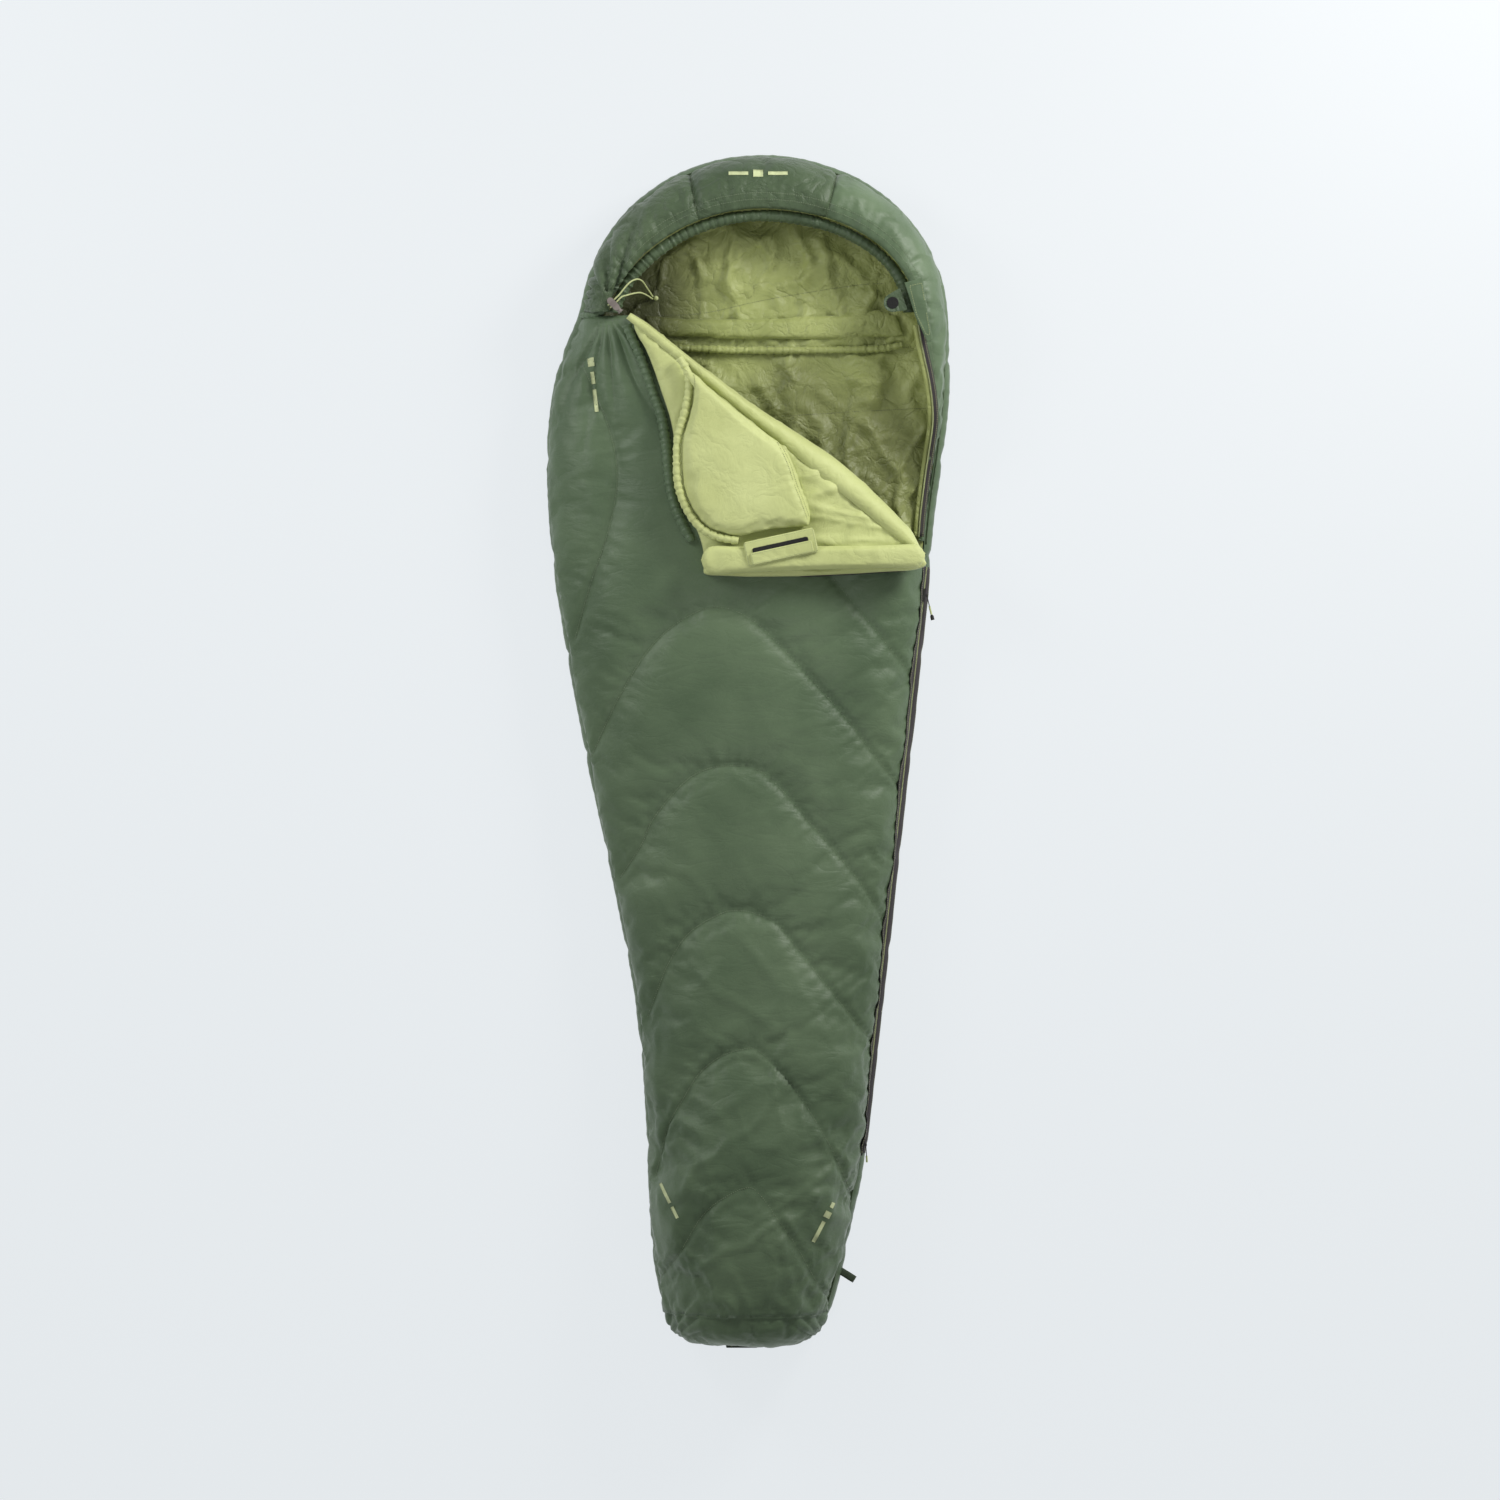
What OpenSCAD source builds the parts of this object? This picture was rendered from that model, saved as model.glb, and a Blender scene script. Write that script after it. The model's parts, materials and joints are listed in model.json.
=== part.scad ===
// Mummy sleeping bag, lying on its back with the upper front corner folded open.
// Millimetres. +Z is up, +Y points to the head, +X is the zip side.
// The origin is on the ground under the middle of the bag's bounding box.

/* [Bag] */
// Overall length, hood to foot label
bag_length = 2200; // [2100:10:2300]
// Width across the shoulders
bag_width = 748; // [720:2:776]
// Height of the front panel over the chest
chest_height = 130; // [126:1:140]
// Height of the foot box
foot_height = 190; // [175:1:205]
// Height of the hood at its crown
hood_height = 148; // [140:1:160]

/* [Quilt] */
// Thickness of the insulation in the front and hood
fill_t = 36; // [30:1:38]
// Thickness at which the fabrics are drawn
fabric_t = 1.5; // [1:0.1:1.5]
// Gap between a fabric and the insulation
layer_gap = 0.2; // [0.1:0.05:0.3]
// Width of the side seam's rounding, seen in section
side_r = 26; // [25:0.5:28]

/* [Zip] */
// Width of one coil half
coil_w = 2.6; // [2.4:0.1:2.8]
// Length of a slider
slider_l = 24; // [20:1:28]
// Angle at which the top puller stands off the zip
pull_rest = 20; // [5:1:35]

/* [Cords] */
// Diameter of the elastic drawcords
cord_d = 3; // [2.5:0.1:3.2]
// Width of the drawcord channel round the hood
hem_d = 19; // [17:0.5:20]

/* [Hidden] */

shell_green = "#52694e";
lining_green = "#c5cb8d";
cord_green = "#cdd79a";
zip_grey = "#4b4a44";
lock_grey = "#8a847c";
label_black = "#20241f";

// The tables below are for the nominal bag, and these two factors fit them to the size asked for.
kx = bag_width / 748;
ky = bag_length / 2200;

seam_z = 48;              // height of the side seam, and of the back lining
seam_inset = 12;          // the side seam lies this far inside the outline
zip_top = [320 * kx, 285 * ky];   // where the closed part of the zip begins, at the side seam
zip_end = [206 * kx, -741 * ky];  // where it ends
coil_z = 56;              // height of the zip's centre line
quilt_t = fill_t + 2 * (fabric_t + layer_gap);
flap_z = chest_height + 1.2;      // underside of the folded flap
hinge_z = chest_height + 0.7;     // height of the fold line
fold_a = [-240 * kx, 815 * ky];   // the fold line's upper end
fold_b = [328 * kx, 353 * ky];    // the fold line's lower end
fold_start = 30;          // the flap begins this far down the fold line
foot_y = -1030 * ky;      // the front panel ends here and the foot panel begins
foot_depth = 60 * ky;     // how far the foot panel stands out
neck_y = 799.5 * ky;      // the front panel's upper end
hood_c = [25 * kx, 800 * ky];     // centre of the hood's curves

// ---------- curves ----------

function lerp(a, b, t) = a + (b - a) * t;
function unit(v) = v / norm(v);
function flat(p, z) = [p[0], p[1], z];

// The row of a table whose span holds y.
function span_of(t, y) =
    let (below = [for (k = [0 : len(t) - 2]) if (t[k][0] <= y) k])
    len(below) == 0 ? 0 : below[len(below) - 1];

// The slope of column c of a table at row k.
function slope(t, k, c) =
    let (a = max(0, k - 1), b = min(len(t) - 1, k + 1))
    (t[b][c] - t[a][c]) / (t[b][0] - t[a][0]);

// A smooth curve through a table's rows [y, value, ...], read at y.
function track(t, y, c = 1) =
    let (k = span_of(t, y), h = t[k + 1][0] - t[k][0],
         u = max(0, min(1, (y - t[k][0]) / h)),
         m0 = slope(t, k, c) * h, m1 = slope(t, k + 1, c) * h)
    t[k][c] * (2 * u^3 - 3 * u^2 + 1) + m0 * (u^3 - 2 * u^2 + u)
    + t[k + 1][c] * (3 * u^2 - 2 * u^3) + m1 * (u^3 - u^2);

// Points of a smooth line through p, with n steps a stretch.
function spline(p, n) = [
    for (i = [0 : len(p) - 2]) for (s = [0 : n - 1])
        let (t = s / n, a = p[max(0, i - 1)], b = p[i], c = p[i + 1], d = p[min(len(p) - 1, i + 2)])
        0.5 * (2 * b + (c - a) * t + (2 * a - 5 * b + 4 * c - d) * t^2 + (3 * b - a - 3 * c + d) * t^3),
    p[len(p) - 1]];

function scaled(rows) = [for (r = rows) [r[0] * ky, r[1] * kx]];
function placed3(rows) = [for (r = rows) [r[0] * kx, r[1] * ky, r[2]]];
function placed(rows) = [for (r = rows) [r[0] * kx, r[1] * ky]];

// ---------- outline seen from above ----------

left_side = scaled([[-1030, -155], [-960, -175], [-830, -184], [-650, -190], [-460, -208], [-276, -243],
                    [-92, -283], [92, -320], [276, -352], [414, -369], [552, -374], [690, -356],
                    [760, -335], [800, -308]]);
right_foot = scaled([[-1030, 155], [-960, 174], [-900, 185], [-830, 200], [-741, 218]]);
right_shoulder = scaled([[285, 332], [368, 337], [460, 346], [552, 361], [644, 371], [713, 374], [800, 369]]);

function seam_x(y) = lerp(zip_top[0], zip_end[0], (zip_top[1] - y) / (zip_top[1] - zip_end[1]));
function left_x(y) = track(left_side, y);
function right_x(y) =
    y < zip_end[1] ? track(right_foot, y) : y < zip_top[1] ? seam_x(y) + seam_inset : track(right_shoulder, y);

// The closed outline, from the foot up the left side, round the hood and down the right.
foot_steps = 6;
head_steps = 22;
function foot_corner(a, side) =
    [side * 155 * kx * pow(cos(a), 0.45), foot_y - foot_depth * pow(sin(a), 0.75)];
outline = concat(
    [for (i = [foot_steps : -1 : 1]) foot_corner(15 * i - 5, -1)],
    [for (y = [-1030, -960, -830, -650, -460, -276, -92, 92, 276, 414, 552, 620, 690, 740]) [left_x(y * ky), y * ky]],
    [for (i = [0 : head_steps]) let (a = 180 - 180 * i / head_steps)
        [hood_c[0] + (cos(a) < 0 ? 333 : 344) * kx * cos(a), hood_c[1] + 300 * ky * sin(a)]],
    [for (y = [740, 660, 552, 460, 368, 285, -228, -741, -830, -900, -960, -1030]) [right_x(y * ky), y * ky]],
    [for (i = [1 : foot_steps]) foot_corner(15 * i - 5, 1)]);

// The outline taken in by d.
function inset(d) = [
    for (i = [0 : len(outline) - 1])
        let (n = len(outline), t = unit(outline[(i + 1) % n] - outline[(i + n - 1) % n]))
        outline[i] + d * [t[1], -t[0]]];
function ring(d, z) = [for (p = inset(d)) flat(p, z)];

// ---------- solids from points ----------

function quad(a, b, c, d) = [[a, b, c], [a, c, d]];

// A closed solid between two grids of points with the same rows and columns.
module quilt(top, bottom) {
    m = len(top);
    n = len(top[0]);
    half = m * n;
    faces = concat(
        [for (i = [0 : m - 2]) for (j = [0 : n - 2]) let (a = i * n + j)
            each quad(a, a + n, a + n + 1, a + 1)],
        [for (i = [0 : m - 2]) for (j = [0 : n - 2]) let (a = half + i * n + j)
            each quad(a, a + 1, a + n + 1, a + n)],
        [for (j = [0 : n - 2]) each quad(j, j + 1, half + j + 1, half + j)],
        [for (j = [0 : n - 2]) let (a = (m - 1) * n + j) each quad(a, half + a, half + a + 1, a + 1)],
        [for (i = [0 : m - 2]) let (a = i * n) each quad(a, half + a, half + a + n, a + n)],
        [for (i = [0 : m - 2]) let (a = i * n + n - 1) each quad(a, a + n, half + a + n, half + a)]);
    polyhedron([for (g = [top, bottom]) for (r = g) each r], faces, convexity = 8);
}

// A closed solid through a stack of closed rings, with flat ends. The first ring is the lowest.
module stack(rings) {
    m = len(rings);
    n = len(rings[0]);
    faces = concat(
        [[for (j = [0 : n - 1]) n - 1 - j]],
        [for (i = [0 : m - 2]) for (j = [0 : n - 1]) let (k = (j + 1) % n)
            each quad(i * n + j, i * n + k, (i + 1) * n + k, (i + 1) * n + j)],
        [[for (j = [0 : n - 1]) (m - 1) * n + j]]);
    polyhedron([for (r = rings) each r], faces, convexity = 8);
}

// Rings of a round tube of radius r along a line of points.
function tube_rings(path, r, sides) = [
    for (i = [0 : len(path) - 1])
        let (t = unit(path[min(len(path) - 1, i + 1)] - path[max(0, i - 1)]),
             u = unit(cross(t, [0, 0, 1])), v = cross(u, t))
        [for (j = [0 : sides - 1]) let (a = 360 * j / sides) path[i] + r * (cos(a) * u + sin(a) * v)]];

module tube(path, r, sides = 8) stack(tube_rings(path, r, sides));

// A tube with a hole along it.
module hollow_tube(path, r, hole_r, sides = 10) {
    n = sides;
    m = len(path);
    half = m * n;
    faces = concat(
        [for (i = [0 : m - 2]) for (j = [0 : n - 1]) let (k = (j + 1) % n)
            each quad(i * n + j, i * n + k, (i + 1) * n + k, (i + 1) * n + j)],
        [for (i = [0 : m - 2]) for (j = [0 : n - 1]) let (k = (j + 1) % n)
            each quad(half + i * n + j, half + (i + 1) * n + j, half + (i + 1) * n + k, half + i * n + k)],
        [for (j = [0 : n - 1]) let (k = (j + 1) % n) each quad(j, half + j, half + k, k)],
        [for (j = [0 : n - 1]) let (k = (j + 1) % n, a = (m - 1) * n)
            each quad(a + j, a + k, half + a + k, half + a + j)]);
    polyhedron([for (q = [r, hole_r]) for (g = tube_rings(path, q, n)) each g], faces, convexity = 8);
}

// A plate with the given outline between two heights.
module plate(points, z0, z1) translate([0, 0, z0]) linear_extrude(z1 - z0) polygon(points);

// ---------- back of the bag ----------

// The side's rounding at depth o inside the fabric, as [inset, height].
function side_profile(o, steps = 5) =
    let (r = side_r - o, last = asin((seam_z - side_r) / side_r))
    [for (i = [0 : steps]) let (a = lerp(-90, last, i / steps)) [side_r - r * cos(a), side_r + r * sin(a)]];

module back_shell() color(shell_green) {
    outer = [for (q = side_profile(0)) ring(q[0], q[1])];
    inner = [for (q = side_profile(fabric_t)) ring(q[0], q[1])];
    n = len(outline);
    m = len(outer);
    half = m * n;
    faces = concat(
        [[for (j = [0 : n - 1]) n - 1 - j]],
        [[for (j = [0 : n - 1]) half + j]],
        [for (i = [0 : m - 2]) for (j = [0 : n - 1]) let (k = (j + 1) % n)
            each quad(i * n + j, i * n + k, (i + 1) * n + k, (i + 1) * n + j)],
        [for (i = [0 : m - 2]) for (j = [0 : n - 1]) let (k = (j + 1) % n)
            each quad(half + i * n + j, half + (i + 1) * n + j, half + (i + 1) * n + k, half + i * n + k)],
        [for (j = [0 : n - 1]) let (k = (j + 1) % n, a = (m - 1) * n)
            each quad(a + j, a + k, half + a + k, half + a + j)]);
    polyhedron([for (g = [outer, inner]) for (r = g) each r], faces, convexity = 8);
}

module back_insulation() color("white")
    stack([for (q = side_profile(fabric_t + 2 * layer_gap)) ring(q[0], q[1])]);

module back_lining() color(lining_green)
    stack([ring(side_r - 9, seam_z - fabric_t), ring(side_r - 9, seam_z)]);

// ---------- front of the bag ----------

// Rows are [y, crown height, squareness of the section].
front_rows = [for (r = [[-1030, 0.90, 2.5], [-960, 0.98, 2.5], [-830, 1.0, 2.6], [-650, 0.86, 2.7]])
                  [r[0] * ky, foot_height * r[1], r[2]],
              for (r = [[-460, 1.08, 2.8], [-200, 0.97, 3.0], [100, 0.97, 3.3], [280, 0.995, 3.6],
                      [420, 1, 3.6], [900, 1, 3.6]])
                  [r[0] * ky, chest_height * r[1], r[2]]];
front_steps = 14;

// The fold line's x at height y in the plan, and the side of it on which the bag stays closed.
function fold_x(y) = lerp(fold_a[0], fold_b[0], (fold_a[1] - y) / (fold_a[1] - fold_b[1])) - 0.5;

// One row of points across the front, at depth o under its surface. k shrinks it for the foot panel.
function arch(y, o, k = 1, y_at = undef) =
    let (yy = max(y, foot_y),
         a = left_x(yy) + seam_inset, b = right_x(yy) - seam_inset, c = (a + b) / 2,
         w = (b - a) / 2 * k - o, h = (track(front_rows, yy, 1) - seam_z) * k - o, p = track(front_rows, yy, 2),
         cut = y > fold_b[1] ? asin(min(1, (fold_x(y) - c) / w)) : 90)
    [for (j = [0 : front_steps])
        let (s = lerp(-90, cut, j / front_steps), u = sin(s))
        [c + w * u, is_undef(y_at) ? y : y_at, seam_z + layer_gap + h * sqrt(max(0, 1 - pow(abs(u), p)))]];

front_y = [for (y = [-1030, -960, -890, -800, -690, -570, -440, -300, -150, 0, 140, 250, 340, 353,
                     400, 460, 520, 580, 640, 700, 750]) y * ky, neck_y];
function front_grid(o) = [for (y = front_y) arch(y, o)];

// A layer of the front quilt between two depths.
module front_layer(o0, o1) quilt(front_grid(o0), front_grid(o1));

module front_shell() color(shell_green) front_layer(0, fabric_t);
module front_insulation() color("white") front_layer(fabric_t + layer_gap, quilt_t - fabric_t - layer_gap);
module front_lining() color(lining_green) front_layer(quilt_t - fabric_t, quilt_t);

// ---------- foot panel ----------

// The foot panel closes the front's end. Its last row drops to the seam as an end wall.
function foot_grid(o) = [
    for (a = [82, 66, 48, 30, 12, 0])
        let (rise = pow(sin(a), 0.75), k = pow(cos(a), 0.45)) each [
            if (a == 82) [for (q = arch(foot_y, o, k, foot_y - foot_depth * rise + o)) [q[0], q[1], seam_z + layer_gap]],
            arch(foot_y, o, k, foot_y - foot_depth * rise * (1 - o / foot_depth) - 0.3)]];

module foot_layer(o0, o1) quilt(foot_grid(o0), foot_grid(o1));
module foot_panel_shell() color(shell_green) foot_layer(0, fabric_t);
module foot_panel_insulation() color("white") foot_layer(fabric_t + layer_gap, 30);
module foot_panel_lining() color(lining_green) foot_layer(30 + layer_gap, 30 + layer_gap + fabric_t);

// ---------- hood and the open side ----------

// The rim down the right side, as [y, x, height of the top].
right_rim = [for (r = [[350, 308, 58], [380, 311, 58], [430, 315, 59], [490, 322, 61], [530, 328, 64],
                       [560, 332, 80], [607, 338, 95], [672, 331, 112], [735, 316, 128], [800, 305, 140]])
             [r[0] * ky, r[1] * kx, r[2]]];

hood_angles = [180, 172, 163, 152, 140, 128, 115, 103, 90, 78, 66, 54, 42, 30, 19, 9, 0];
side_y = [770, 735, 700, 672, 640, 607, 580, 560, 545, 525, 490, 440, 402, 374] * ky;
left_seam = 6;    // stations at which the hood's panels meet
right_seam = 10;

// A station round the hood is [foot of the wall, rim, height of the top, thickness].
function hood_at(a) =
    let (side = cos(a) < 0,
         rx = side ? 333 : 344,
         foot = hood_c + [(rx * kx - seam_inset) * cos(a), (300 * ky - seam_inset) * sin(a)],
         rim = hood_c + [280 * kx * cos(a), 188 * ky * pow(sin(a), side ? 1.3 : 1)],
         z = lerp(side ? chest_height : 140, hood_height, sin(a)))
    [foot, rim, z, min(quilt_t, norm(foot - rim) * 0.72)];
function side_at(y) =
    let (foot = [right_x(y) - seam_inset, y], rim = [track(right_rim, y, 1), y], z = track(right_rim, y, 2))
    [foot, rim, z, min(quilt_t, (foot[0] - rim[0]) * 0.62, (z - seam_z) * 0.62)];
stations = concat([for (a = hood_angles) hood_at(a)], [for (y = side_y) side_at(y)]);

curl = 112;       // how far the hood's section turns over, in degrees
hood_steps = 8;

// The wall's section at a station, at share d of its thickness.
function hood_row(s, d) =
    let (foot = s[0], rim = s[1], b = norm(rim - foot), dir = unit(rim - foot), o = d * s[3], h = s[2] - seam_z)
    [for (j = [0 : hood_steps])
        let (a = curl * j / hood_steps, f = (1 - cos(a)) / (1 - cos(curl)), q = foot + dir * (o + (b - o) * f))
        flat(q, seam_z + layer_gap + (h - o) * sin(a))];
function hood_grid(d, i0, i1) = [for (i = [i0 : i1]) hood_row(stations[i], d)];

skin = fabric_t / quilt_t;     // a fabric's share of the wall's thickness
last = len(stations) - 1;
module hood_layer(d0, d1, i0 = 0, i1 = last) quilt(hood_grid(d0, i0, i1), hood_grid(d1, i0, i1));

module hood_shell_left() color(shell_green) hood_layer(0, skin, 0, left_seam);
module hood_shell_centre() color(shell_green) hood_layer(0, skin, left_seam, right_seam);
module hood_shell_right() color(shell_green) hood_layer(0, skin, right_seam, last);
module hood_insulation() color("white") hood_layer(skin * 1.15, 1 - skin * 1.15);
module hood_lining() color(lining_green) hood_layer(1 - skin, 1);

// The drawcord channel lies just inside the hood's rim.
hem_line = [for (i = [0 : 16]) let (s = stations[i], dir = unit(s[1] - s[0]),
                h = (s[2] - seam_z) * sin(curl))
            flat(s[1] + dir * (hem_d / 2 + 1), seam_z + h - s[3] / 2)];
module hood_hem() color(shell_green) hollow_tube(hem_line, hem_d / 2, cord_d / 2 + 1);
module hood_drawcord() color(cord_green) tube(hem_line, cord_d / 2, 6);

// ---------- cord lock and free cord ----------

lock_at = [-246 * kx, 813 * ky, chest_height + 10];
lock_turn = -46;      // the plunger's direction in the plan
lock_l = 24;
lock_w = 16;
lock_h = 11;
button_r = 4.4;

module at_lock() translate(lock_at) rotate([0, 0, lock_turn]) children();

// X is along the plunger and Y along the cords.
hole_x = [-5, 1];
function by_lock(x, y) = lock_at + [x * cos(lock_turn) - y * sin(lock_turn), x * sin(lock_turn) + y * cos(lock_turn), 0];
module cord_lock_body() color(lock_grey) at_lock() difference() {
    hull() for (x = [-lock_l / 2 + 4, lock_l / 2 - 4]) translate([x, 0, -lock_h / 2])
        cylinder(h = lock_h, r = lock_w / 2 - 2, $fn = 32);
    for (x = hole_x) translate([x, 0, 0]) rotate([90, 0, 0])
        cylinder(h = lock_w + 2, r = cord_d / 2 + 0.5, center = true, $fn = 32);
    translate([3.6, 0, 0]) rotate([0, 90, 0]) cylinder(h = lock_l, r = button_r + 0.1, $fn = 32);
}

module cord_lock_button() color(lock_grey) at_lock() {
    translate([8, 0, 0]) rotate([0, 90, 0]) difference() {
        cylinder(h = 10.5, r = button_r, $fn = 32);
        translate([0, 0, -1]) cylinder(h = 8.5, r = 3.6, $fn = 32);
    }
    translate([18.5, 0, 0]) rotate([0, 90, 0]) cylinder(h = 1.5, r = button_r + 0.8, $fn = 32);
}

// The spring stands in as a short sleeve between the body's floor and the button.
module cord_lock_spring() color("silver") at_lock() translate([3.8, 0, 0]) rotate([0, 90, 0])
    difference() {
        cylinder(h = 4, r = 3.4, $fn = 32);
        translate([0, 0, -1]) cylinder(h = 6, r = 2.6, $fn = 32);
    }

// The free cord leaves the lock straight, bends over the rim and rests with its knot on the back lining.
upper_route = concat([for (y = [-9, 0, 10, 20]) by_lock(hole_x[0], y)],
                     placed3([[-226, 842, 140], [-217, 852, 139], [-208, 858, 132], [-200, 860, 119], [-193, 857, 101],
                              [-187, 849, 82], [-181, 841, 66], [-177, 835.5, 56.5], [-175.6, 833.6, 54.8]]));
lower_route = concat([for (y = [-9, 0, 10, 20]) by_lock(hole_x[1], y)],
                     placed3([[-223, 829, 137], [-215, 832, 130], [-206, 835, 118], [-198, 837, 103], [-191, 836, 87],
                              [-185, 834, 72], [-180, 831.5, 60.5], [-176.6, 829.6, 54.8]]));
knot_at = placed3([[-170, 831, 53]])[0];
module cord_strand_upper() color(cord_green) tube(spline(upper_route, 3), cord_d / 2);
module cord_strand_lower() color(cord_green) tube(spline(lower_route, 3), cord_d / 2);
module cord_knot() color(cord_green) translate(knot_at) sphere(r = 4.6, $fn = 24);

// ---------- folded flap ----------

// The flap's edge from the fold round to the fold again, as it lies folded open.
flap_free_edge = spline(placed([[-208, 765], [-202, 752], [-189, 725], [-175, 688], [-161, 646], [-146, 601],
                                [-138, 555], [-134, 508], [-125, 462], [-108, 420], [-92, 385], [-84, 350]]), 2);
flap_zip_edge = placed([[-84, 314], [0, 311], [95, 312], [200, 317], [290, 323], [326, 332]]);
fold_dir = unit(fold_b - fold_a);
fold_side = [fold_dir[1], -fold_dir[0]];       // points from the fold line to the folded side
function on_fold(t, off) = fold_a + fold_dir * t + fold_side * off;
fold_len = norm(fold_b - fold_a);
flap_edge = concat([on_fold(fold_start + 4, 0.5)], flap_free_edge, flap_zip_edge, [on_fold(fold_len - 8, 0.5)]);

flap_fill_z = flap_z + fabric_t + layer_gap;
flap_top = flap_z + 34 + 2 * fabric_t;         // upper face of the flap's lining, as folded

module flap_shell() color(shell_green) plate(flap_edge, flap_z, flap_z + fabric_t);
module flap_insulation() color("white") plate(flap_edge, flap_fill_z, flap_top - fabric_t - layer_gap);
module flap_lining() color(lining_green) plate(flap_edge, flap_top - fabric_t, flap_top);

neck_line = [for (p = spline(placed([[-221, 775], [-214, 755], [-201, 727], [-187, 690], [-173, 648],
                                     [-158, 605], [-150, 557], [-146, 510], [-138, 458], [-120, 412],
                                     [-103, 380]]), 2)) flat(p, flap_z + hem_d / 2 + 2)];
module neck_hem() color(shell_green) hollow_tube(neck_line, hem_d / 2 - 0.5, cord_d / 2 + 1);
module neck_drawcord() color(cord_green) tube(neck_line, cord_d / 2, 6);

// ---------- collar and draft tube ----------

collar_t = 24;
collar_edge = concat(
    spline(placed([[-126, 712], [-112, 690], [-108, 659], [-115, 616], [-128, 570], [-130, 524], [-127, 478],
                   [-112, 438], [-88, 405], [-56, 387], [-18, 380]]), 2),
    spline(placed([[54, 393], [116, 408], [114, 451], [100, 500], [80, 545]]), 2),
    [on_fold(390, 3)]);
module collar_front() color(lining_green) plate(collar_edge, flap_top + layer_gap, flap_top + collar_t);

// Across the back lining the collar is a low quilted band with its own drawcord channel.
collar_back_edge = placed([[-190, 760], [-120, 752], [0, 748], [120, 748], [240, 751], [285, 758],
                           [272, 800], [240, 812], [120, 806], [0, 800], [-120, 798], [-190, 800]]);
module collar_back() color(lining_green) plate(collar_back_edge, seam_z + layer_gap, seam_z + 14);
collar_channel_line = [for (p = spline(placed([[-185, 747], [-120, 739], [0, 735], [120, 735], [240, 738],
                                               [283, 745]]), 2)) flat(p, seam_z + 8)];
module collar_back_channel() color(lining_green) hollow_tube(collar_channel_line, 7, cord_d / 2 + 0.6, 8);

// The draft tube lies on the flap's lining along its zip edge.
module draft_tube_flap() color(lining_green) hull()
    for (p = [[-56, 345, 27], [296, 352, 22]])
        translate([p[0] * kx, p[1] * ky, flap_top + layer_gap]) {
            cylinder(h = collar_t - 10, r1 = p[2], r2 = p[2] + 3, $fn = 32);
            cylinder(h = collar_t - 1, r = p[2] - 8, $fn = 32);
        }

// Along the closed zip it goes on inside the bag.
module draft_tube_lower() color(lining_green) at_zip(40)
    rotate([90, 0, 0]) translate([-quilt_t - 36, 0, 0]) linear_extrude(norm(zip_top - zip_end) - 80)
        translate([14, seam_z + 7.3]) polygon([for (a = [0 : 30 : 330]) [13 * cos(a), 7 * sin(a)]]);

// The collar's closing tab lies over the draft tube.
tab_z = flap_top + collar_t;
tab_a = [-10 * kx, 376 * ky];
tab_b = [118 * kx, 404 * ky];
tab_turn = atan2(tab_b[1] - tab_a[1], tab_b[0] - tab_a[0]);
tab_l = norm(tab_b - tab_a);
module at_tab() translate([tab_a[0], tab_a[1], tab_z]) rotate([0, 0, tab_turn]) children();
module collar_tab() color(lining_green) at_tab() translate([0, -46, 0.3]) cube([tab_l, 46, 2.5]);
module tab_hook_strip() color(label_black) at_tab() translate([14, -30, 2.9]) cube([tab_l - 28, 16, 1.2]);
module tab_cover() color(lining_green) at_tab() translate([8, -44, 4.4]) cube([tab_l - 16, 22, 2]);

// ---------- zip ----------

zip_turn = atan2(zip_top[0] - zip_end[0], zip_top[1] - zip_end[1]);
zip_l = norm(zip_top - zip_end);
zip_start = -52 * ky;     // the two halves go on past the top slider up to here
tape_x = 0.3;             // the tapes stand this far off the front's side
tape_t = 0.8;
tooth_x = tape_x + tape_t;
tooth_t = 2.2;

// A place s down the closed zip: X points out of the bag, Y back up the zip.
module at_zip(s) translate([seam_x(zip_top[1]), zip_top[1], 0]) rotate([0, 0, -zip_turn]) translate([0, -s, 0]) children();
module zip_bar(x, z, w, h, s0, s1) at_zip(s0) translate([x, -(s1 - s0), z]) cube([w, s1 - s0, h]);

// The zip's open half on the back, along the top of the open side.
open_line = [for (y0 = [364, 400, 430, 490, 530, 560, 607, 672, 735, 780])
             let (y = y0 * ky) [track(right_rim, y, 1) + 5, y, track(right_rim, y, 2) + 3]];
open_path = spline(open_line, 3);

// A flat band of width w and thickness h, off the line by [off, up].
module band(line, off, up, w, h) {
    rows = [for (i = [0 : len(line) - 1])
        let (t = unit(line[min(len(line) - 1, i + 1)] - line[max(0, i - 1)]), u = unit(cross(t, [0, 0, 1])))
        [line[i] + u * (off - w / 2) + [0, 0, up], line[i] + u * (off + w / 2) + [0, 0, up]]];
    quilt([for (r = rows) [r[0] + [0, 0, h], r[1] + [0, 0, h]]], rows);
}

module zip_tape_back() color(zip_grey) {
    zip_bar(tape_x, seam_z + 0.4, tape_t, coil_z - seam_z - 0.6, zip_start, zip_l);
    band(open_path, 0, 0, 11, tape_t);
}
module zip_coil_back() color(cord_green) {
    zip_bar(tooth_x, coil_z - coil_w - 0.1, tooth_t, coil_w, zip_start, zip_l);
    band(open_path, -4, tape_t, coil_w, tooth_t);
}
module zip_tape_front() color(zip_grey) zip_bar(tape_x, coil_z + 0.2, tape_t, 12, zip_start, zip_l);
module zip_coil_front() color(cord_green) zip_bar(tooth_x, coil_z + 0.1, tooth_t, coil_w, zip_start, zip_l);

// The zip's half on the flap, under the overhang of the draft tube.
flap_zip_line = [for (p = [for (i = [1 : len(flap_zip_edge) - 2]) flap_zip_edge[i]]) flat(p - [0, 3.4], flap_z + 4)];
module zip_tape_flap() color(zip_grey) band(flap_zip_line, 0, 0, 5, tape_t);
module zip_coil_flap() color(cord_green) band(flap_zip_line, 1, -tooth_t - 0.1, coil_w, tooth_t);

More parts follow.
